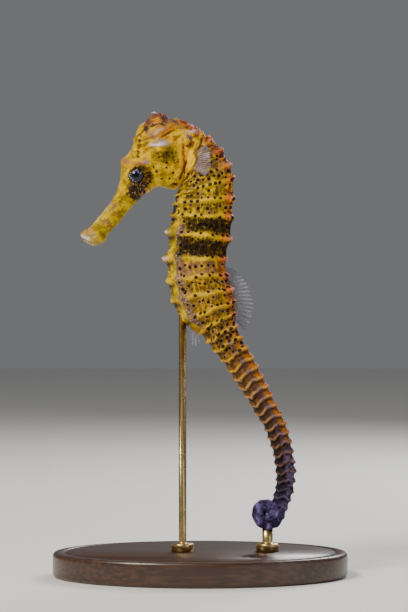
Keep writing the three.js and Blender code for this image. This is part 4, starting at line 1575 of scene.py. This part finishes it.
# %% [markdown]
# ### Surface of the skin
#
# The finish is satin, a little wetter where the specks are dark. The grain is a bump and
# not part of the mesh, because a tenth of a millimetre is too fine for it. Then the skin
# takes the place of all the flesh solids. A search tree of its shape is kept for the stand.

# %% Surface of the skin
BUMP_HEIGHT = 0.18
FLESH = (
    "snout", "head", "coronet", "neck", "trunk_upper", "trunk_lower",
    "tail_upper", "tail_middle", "tail_lower", "tail_coil",
)

pebbled = use_group(skin_nodes, fine_grain, {"Size": 0.34})
height = maths("MULTIPLY_ADD", mottled, 1.8, pebbled)
height = maths("MULTIPLY_ADD", product(streaky, on_body), 1.6, height)
fill(skin_shader, {
    "Base Color": skin_layers[-1],
    "Roughness": maths("MULTIPLY_ADD", speckled, 0.24, 0.3),
    "Specular IOR Level": 0.08,
    "Normal": bumped(height, 0.8, BUMP_HEIGHT),
})

skin_tree = BVHTree.FromBMesh(skin_bm)
place(skin_bm, "skin", skin_material, FLESH)

# %% [markdown]
# ## Eyes
#
# Each eye is a ball that turns on its own. Under the clear surface lie a dark pupil and a
# mottled iris with silvery streaks, which run outward like spokes. The ball is turned so
# that its pole looks sideways, and a clear coat on the shader catches the light. A second,
# clear shell over the ball would do too, but it is too thin to be seen at this size.

# %% Eyes
SIDES = ((-1, "left"), (1, "right"))
PUPIL, IRIS = 1.1, 2.25
PUPIL_SHIFT = (-0.25, 0.1)  # the animal looks a little forward and up

eye_material, tree, shader = new_material("eye")
at = millimetres(tree)
parts = add_node("ShaderNodeSeparateXYZ", {0: at}).outputs
dx = maths("SUBTRACT", parts["X"], EYE_X + PUPIL_SHIFT[0])
dz = maths("SUBTRACT", parts["Z"], EYE_Z + PUPIL_SHIFT[1])
from_middle = how_far(dx, dz)
spokes = spokes_round(dx, dz, 0.8)
blobs = grain(at, 1.5, 3.0)
iris = mixed(over(spokes, 0.5, 0.58), paint("12101C"), paint("A4A8CC"))
iris = mixed(over(blobs, 0.47, 0.56), iris, paint("1C1210"))
iris = mixed(over(from_middle, IRIS - 0.35, IRIS), iris, paint("140C0A"))
ragged_edge = maths("ADD", swing(blobs, 0.9), from_middle)
pupil = over(ragged_edge, PUPIL + 0.12, PUPIL - 0.1)
fill(shader, {
    "Base Color": mixed(pupil, iris, paint("060818")),
    "Roughness": maths("MULTIPLY_ADD", blobs, 0.2, 0.12),
    "Specular IOR Level": 0.2,
    "Coat Weight": 0.45,
    "Coat Roughness": 0.03,
})

for side, side_name in SIDES:
    bm = bmesh.new()
    bmesh.ops.create_uvsphere(bm, u_segments=48, v_segments=32, radius=EYE_RADIUS * MM)
    bmesh.ops.rotate(bm, verts=bm.verts, matrix=Matrix.Rotation(math.pi / 2, 3, "X"))
    bmesh.ops.translate(bm, verts=bm.verts, vec=Vector((EYE_X, side * EYE_Y, EYE_Z)) * MM)
    place(bm, "eye_ball_" + side_name, eye_material, ("eye_" + side_name,))

# %% [markdown]
# ## Fins
#
# A fin is a thin clear membrane between fine rays. Each starts as a flat grid, laid between
# a root line inside the skin and its outer edge. The grid is given its thickness, and then
# the rays are raised on both faces. Real rays taper towards the edge, and the membrane
# between them ripples.

# %% Fin helpers
FIN_THICKNESS = 0.16
RAY_RISE = 0.13
STEPS_PER_RAY = 6
LONG_STEPS, SHORT_STEPS = 12, 8  # from root to edge
SHEET_GAP = 0.02  # between the two faces while a sheet is flat


def curve_point(points, share):
    """A place on a smooth line through points, from 0 at the first to 1 at the last."""
    spot = share * (len(points) - 1)
    index = min(int(spot), len(points) - 2)
    t = spot - index
    p0, p1 = points[max(index - 1, 0)], points[index]
    p2, p3 = points[index + 1], points[min(index + 2, len(points) - 1)]
    bend = (2 * p0 - 5 * p1 + 4 * p2 - p3) * t * t + (3 * p1 - p0 - 3 * p2 + p3) * t * t * t
    return p1 + ((p2 - p0) * t + bend) / 2


def ray_height(share, rays):
    """1 on a ray, 0 between."""
    return abs(math.cos(math.pi * rays * share)) ** 6


def fin_sheet(name, material, rays, steps_out, surface, replaced):
    """A fin. Its surface gives the point at (along, out), in mm, and the way it faces."""
    bm = bmesh.new()
    across_layer = bm.verts.layers.float.new("across")
    out_layer = bm.verts.layers.float.new("out")
    bmesh.ops.create_grid(bm, x_segments=STEPS_PER_RAY * rays, y_segments=steps_out, size=0.5)
    for vert in bm.verts:
        vert[across_layer], vert[out_layer] = vert.co.x + 0.5, vert.co.y + 0.5
    bmesh.ops.solidify(bm, geom=list(bm.faces), thickness=SHEET_GAP)
    for vert in bm.verts:
        front = 1 if abs(vert.co.z) > SHEET_GAP / 2 else -1
        along, out = vert[across_layer], vert[out_layer]
        point, facing = surface(along, out)
        half = FIN_THICKNESS / 2 + RAY_RISE * ray_height(along, rays) * (1 - 0.75 * out)
        vert.co = (point + facing * front * half) * MM
    bmesh.ops.recalc_face_normals(bm, faces=bm.faces)
    return place(bm, name, material, replaced)

# %% [markdown]
# The membrane lets light through, so its alpha is low between the rays. Its colour is a
# cool grey with a little of the body's gold near the root, and the rays are jointed, dark
# and pale by turns.

# %% Fin material
RAY_COUNTS = {"dorsal": 17, "pectoral": 15, "anal": 4}
CLOUD_COLOUR, JOINT_COLOUR = "8A8A9C", "6A6068"


def fin_paint(rays, root_colour="B88620", clear=0.2, membrane="5E6478", ray_colour="B8B4C0"):
    """Clear membrane with paler, thicker rays."""
    material, tree, shader = new_material("fin_membrane_" + str(rays))
    across, out = attribute(tree, "across"), attribute(tree, "out")
    at = millimetres(tree)
    swing_of_rays = maths("COSINE", product(across, math.pi * rays))
    ray = maths("POWER", maths("ABSOLUTE", swing_of_rays), 5.0)
    cloudy = grain(at, 0.9)
    joints = grain(at, 3.5, 2.0)
    pale_part = product(ray, over(joints, 0.35, 0.6))
    dark_part = product(ray, over(joints, 0.45, 0.3))
    colour = mixed(cloudy, paint(membrane), paint(CLOUD_COLOUR))
    colour = mixed(pale_part, colour, paint(ray_colour))
    colour = mixed(dark_part, colour, paint(JOINT_COLOUR))
    colour = mixed(over(out, 0.35, 0.02), colour, paint(root_colour))
    solid = maths("MULTIPLY_ADD", ray, 0.45, clear)
    solid = maths("MAXIMUM", solid, over(out, 0.35, 0.0))
    grained = use_group(tree, fine_grain, {"Size": 0.25})
    fill(shader, {
        "Base Color": colour,
        "Alpha": maths("MULTIPLY_ADD", cloudy, 0.12, solid),
        "Roughness": 0.32,
        "Normal": bumped(grained, 0.4, 0.05),
    })
    return material

# %% [markdown]
# The dorsal fin stands on the last rings of the trunk and drives the animal, beating dozens
# of times a second. Its root follows the back, a little below the skin, and its outer edge
# is a smooth line through a few points. The edge waves from side to side.

# %% Dorsal fin
DORSAL_EDGE = [  # x and z
    (8.2, 88.0), (11.2, 86.0), (13.6, 82.6), (15.1, 78.6), (14.8, 74.4), (12.9, 69.6)
]
DORSAL_RINGS = (8.45, 12.3)
DORSAL_SINK = 0.8
dorsal_edge = [Vector((x, 0, z)) for x, z in DORSAL_EDGE]


def back_point(ring, sink):
    """A point under the skin of the back."""
    middle, to_back, _, half_depth, _ = section(ring)
    return middle + to_back * (half_depth - sink)


def dorsal_surface(along, out):
    """The dorsal fin stands on the back, and its free edge waves."""
    root = back_point(between(*DORSAL_RINGS, along), DORSAL_SINK)
    point = root.lerp(curve_point(dorsal_edge, along), out)
    point.y = out * (0.42 * math.sin(9 * along + 1.2 * out) + 0.12 * math.cos(34 * math.pi * along))
    return point, Vector((0, 1, 0))


rays = RAY_COUNTS["dorsal"]
fin_sheet("dorsal_fin_membrane", fin_paint(rays), rays, LONG_STEPS, dorsal_surface, ("dorsal_fin",))

# %% [markdown]
# The anal fin is a tiny fan of four rays just behind the vent, under the last ring of the
# trunk. It's made the same way, between a straight root and a short curved edge.

# %% Anal fin
ANAL_ROOT = [(-2.6, 70.9), (0.0, 69.9)]
ANAL_EDGE = [(-2.7, 67.2), (-2.0, 65.3), (-0.5, 65.6), (0.2, 67.4)]
anal_root = [Vector((x, 0, z)) for x, z in ANAL_ROOT]
anal_edge = [Vector((x, 0, z)) for x, z in ANAL_EDGE]


def anal_surface(along, out):
    """A tiny fan behind the vent."""
    root = anal_root[0].lerp(anal_root[1], along)
    point = root.lerp(curve_point(anal_edge, along), out)
    point.y = 0.1 * out * math.cos(8 * math.pi * along)
    return point, Vector((0, 1, 0))


rays = RAY_COUNTS["anal"]
fin_sheet("anal_fin_membrane", fin_paint(rays), rays, SHORT_STEPS, anal_surface, ("anal_fin",))

# %% [markdown]
# A pectoral fin stands behind each gill cover and steers. It's a fan: its rays spread from a
# short upright root to a round rim that is nicked between them. The fan is cupped and swings
# a little out from the neck. A mirrored copy would serve for the right side, but a function
# of the side keeps the faces pointing outwards by itself.

# %% Pectoral fins
FAN_REACH, FAN_HALF_HEIGHT = 5.7, 4.5
FAN_SPREAD, FAN_SWING = 0.95, math.radians(20)
FAN_ROOT_HALF = 2.1
FAN_Y = 4.55
FAN_NICKS = 0.16


def fan_surface(side):
    """Where a pectoral fin's points lie. It is cupped, and swings out from the neck."""
    turn = Matrix.Rotation(side * FAN_SWING, 3, "Z")

    def surface(along, out):
        """A point of the fan, and the way it faces."""
        angle = between(-FAN_SPREAD, FAN_SPREAD, along)
        nick = FAN_NICKS * (1 - ray_height(along, RAY_COUNTS["pectoral"]))
        rim_x = FAN_REACH * math.cos(angle) ** 0.6 - nick
        rim_z = FAN_HALF_HEIGHT * math.sin(angle) / math.sin(FAN_SPREAD)
        root = Vector((0.2, 0, between(-FAN_ROOT_HALF, FAN_ROOT_HALF, along)))
        point = root.lerp(Vector((rim_x, 0, rim_z)), out)
        point.y = side * (0.3 * math.sin(7 * angle + 1.0) * out + 0.5 * out * (1 - out))
        facing = turn @ Vector((0, 1, 0))
        return turn @ point + Vector((FIN_ROOT_X, side * FAN_Y, FIN_ROOT_Z)), facing

    return surface


rays = RAY_COUNTS["pectoral"]
pectoral_paint = fin_paint(rays, "B08830", 0.12, "9A7A70", "A89090")
for side, side_name in SIDES:
    fin_name = "pectoral_fin_membrane_" + side_name
    solid = ("pectoral_fin_" + side_name,)
    fin_sheet(fin_name, pectoral_paint, rays, LONG_STEPS, fan_surface(side), solid)

# %% [markdown]
# ## Display stand
#
# The animal swims in life, so a plain stand holds the model: an oval foot of dark stained
# wood and two brass rods. First the wood. Its grain is noise drawn out along the board, at
# three sizes: broad figure, darker lines, and fine pores that are also pressed in a little.

# %% Stained wood
wood_material, tree, shader = new_material("stained_wood")
at = millimetres(tree)


def drawn_out(vector, stretch, detail, roughness=0.55):
    """Noise stretched along the axes by the scales given."""
    mapped = add_node("ShaderNodeMapping", {"Vector": vector, "Scale": stretch}).outputs[0]
    return grain(mapped, 1.0, detail, roughness)


figure = drawn_out(at, (0.05, 0.6, 0.6), 5.0, 0.6)
lines = over(drawn_out(at, (0.02, 1.1, 1.1), 2.0), 0.45, 0.6)
pores = over(drawn_out(at, (0.25, 3.2, 3.2), 2.0), 0.62, 0.72)
wood = mixed(figure, paint("26180F"), paint("44291B"))
wood = mixed(product(lines, 0.5), wood, paint("5E3C26"))
wood = mixed(product(pores, 0.7), wood, paint("120B08"))
fill(shader, {
    "Base Color": wood,
    "Roughness": maths("MULTIPLY_ADD", figure, 0.2, 0.28),
    "Coat Weight": 0.35,
    "Coat Roughness": 0.2,
    "Normal": bumped(product(pores, -1.0), 0.5, 0.08),
})
print("wood made of", len(tree.nodes), "nodes")

# %% [markdown]
# The foot is turned: a profile with rounded corners and a shallow groove near the rim is
# spun round, and the disc is then pressed to an oval, as on a shop-made plinth. A bevelled
# block would need its groove cut in afterwards.

# %% Stand base
BASE_HALF_LENGTH, BASE_HALF_WIDTH, BASE_HEIGHT = 42.0, 28.0, 7.0
BASE_ROUNDING = 1.2
GROOVE_FROM_RIM, GROOVE_WIDTH, GROOVE_DEPTH = 3.4, 1.0, 0.35
ROUNDING_STEPS, BASE_STEPS = 6, 160


def quarter_circle(across, up, radius, start, steps=ROUNDING_STEPS, way=1):
    """Points of a profile on a quarter circle round (across, up), from a starting angle."""
    turns = [start + way * math.pi / 2 * step / steps for step in range(steps + 1)]
    return [(across + radius * math.cos(turn), up + radius * math.sin(turn)) for turn in turns]


def turned(profile, x, steps):
    """A bmesh of a profile spun round an upright axis at x."""
    bm = bmesh.new()
    verts = [bm.verts.new(Vector((x + across, 0, up)) * MM) for across, up in profile]
    for start, end in zip(verts, verts[1:]):
        bm.edges.new((start, end))
    bmesh.ops.spin(
        bm, geom=bm.verts[:] + bm.edges[:], cent=(x * MM, 0, 0), axis=(0, 0, 1), dvec=(0, 0, 0),
        angle=2 * math.pi, steps=steps, use_merge=True, use_duplicate=False
    )
    bmesh.ops.remove_doubles(bm, verts=bm.verts, dist=0.001 * MM)
    bmesh.ops.recalc_face_normals(bm, faces=bm.faces)
    return bm


rim = BASE_HALF_LENGTH - BASE_ROUNDING
profile = [(0.0, 0.0)]
profile += quarter_circle(rim, BASE_ROUNDING, BASE_ROUNDING, -math.pi / 2)
profile += quarter_circle(rim, BASE_HEIGHT - BASE_ROUNDING, BASE_ROUNDING, 0.0)
for step in range(2 * ROUNDING_STEPS + 1):
    share = step / ROUNDING_STEPS - 1
    across = BASE_HALF_LENGTH - GROOVE_FROM_RIM - share * GROOVE_WIDTH / 2
    profile.append((across, BASE_HEIGHT - GROOVE_DEPTH * (1 - share * share)))
profile.append((0.0, BASE_HEIGHT))
bm = turned(profile, 0.0, BASE_STEPS)
bmesh.ops.scale(bm, verts=bm.verts, vec=(1, BASE_HALF_WIDTH / BASE_HALF_LENGTH, 1))
place(bm, "stand_base_wood", wood_material, ("stand_base",))

# %% [markdown]
# The rods are satin brass: fine scratches drawn out along the rod, and a soft brown tarnish
# where hands don't polish it.

# %% Satin brass
brass_material, tree, shader = new_material("satin_brass")
at = millimetres(tree)
scratches = drawn_out(at, (5.0, 5.0, 0.12), 3.0, 0.6)
tarnish = over(grain(at, 0.35, 4.0), 0.48, 0.7)
brass = mixed(tarnish, paint("D8B878"), paint("A08250"))
brass = mixed(product(scratches, 0.4), brass, paint("E6CF9A"))
fill(shader, {
    "Base Color": brass,
    "Metallic": 1.0,
    "Roughness": maths("MULTIPLY_ADD", tarnish, 0.18, 0.26),
    "Normal": bumped(scratches, 0.3, 0.03),
})
print("brass made of", len(tree.nodes), "nodes")

# %% [markdown]
# Each rod is turned too, with a rounded collar at the foot and a small fillet above it. Its
# top is cut to the animal's underside: every point of it looks straight up for the skin and
# goes a little way in. Cutting rod and skin against each other would leave a ragged seam.

# %% Stand rods
COLLAR_RADIUS, COLLAR_HEIGHT, COLLAR_ROUNDING = 3.2, 2.4, 0.5
FILLET, FILLET_STEPS = 0.4, 4
SPIN_STEPS = 40
ROD_TUCK = 0.12  # how far a rod's top goes into the skin
BODY_ROD_X, BODY_ROD_RADIUS = -5.0, 1.1
TAIL_ROD_X, TAIL_ROD_RADIUS = COIL_X, 1.5
ABOVE_COLLAR = 3.0  # where the look for the skin starts, from the top of the base
BELOW_TOP = 12.0  # where it starts for the points of the top
UP = Vector((0, 0, 1))


def rod(name, x, radius, replaced):
    """A rod with a collar, from the base up to the skin."""
    shoulder = BASE_HEIGHT + COLLAR_HEIGHT
    edge = COLLAR_RADIUS - COLLAR_ROUNDING
    quarter = math.pi / 2
    profile = [(0.0, BASE_HEIGHT), (COLLAR_RADIUS, BASE_HEIGHT)]
    profile += quarter_circle(edge, shoulder - COLLAR_ROUNDING, COLLAR_ROUNDING, 0.0)
    profile += quarter_circle(radius + FILLET, shoulder + FILLET, FILLET, -quarter, FILLET_STEPS, -1)
    start = Vector((x, 0, BASE_HEIGHT + ABOVE_COLLAR)) * MM
    top = skin_tree.ray_cast(start, UP)[0].z / MM
    profile += [(radius, top), (radius * 0.5, top), (0.0, top)]
    bm = turned(profile, x, SPIN_STEPS)
    for vert in bm.verts:
        if vert.co.z > (top - 0.01) * MM:
            below = Vector((vert.co.x, vert.co.y, (top - BELOW_TOP) * MM))
            vert.co.z = skin_tree.ray_cast(below, UP)[0].z + ROD_TUCK * MM
    print(name, "top in mm:", round(top, 1))
    return place(bm, name, brass_material, replaced)


rod("stand_rod_body_brass", BODY_ROD_X, BODY_ROD_RADIUS, ("stand_rod_body",))
rod("stand_rod_tail_brass", TAIL_ROD_X, TAIL_ROD_RADIUS, ("stand_rod_tail",))

# %% [markdown]
#
# The dressed model has to stay as large as its solids. Both boxes are printed, in
# millimetres.

# %% Print the sizes and finish
boxes = {"cad": cad_box, "visual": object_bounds()}
for name, box in boxes.items():
    print(name, "mm:", [[round(value / MM, 1) for value in corner] for corner in box])
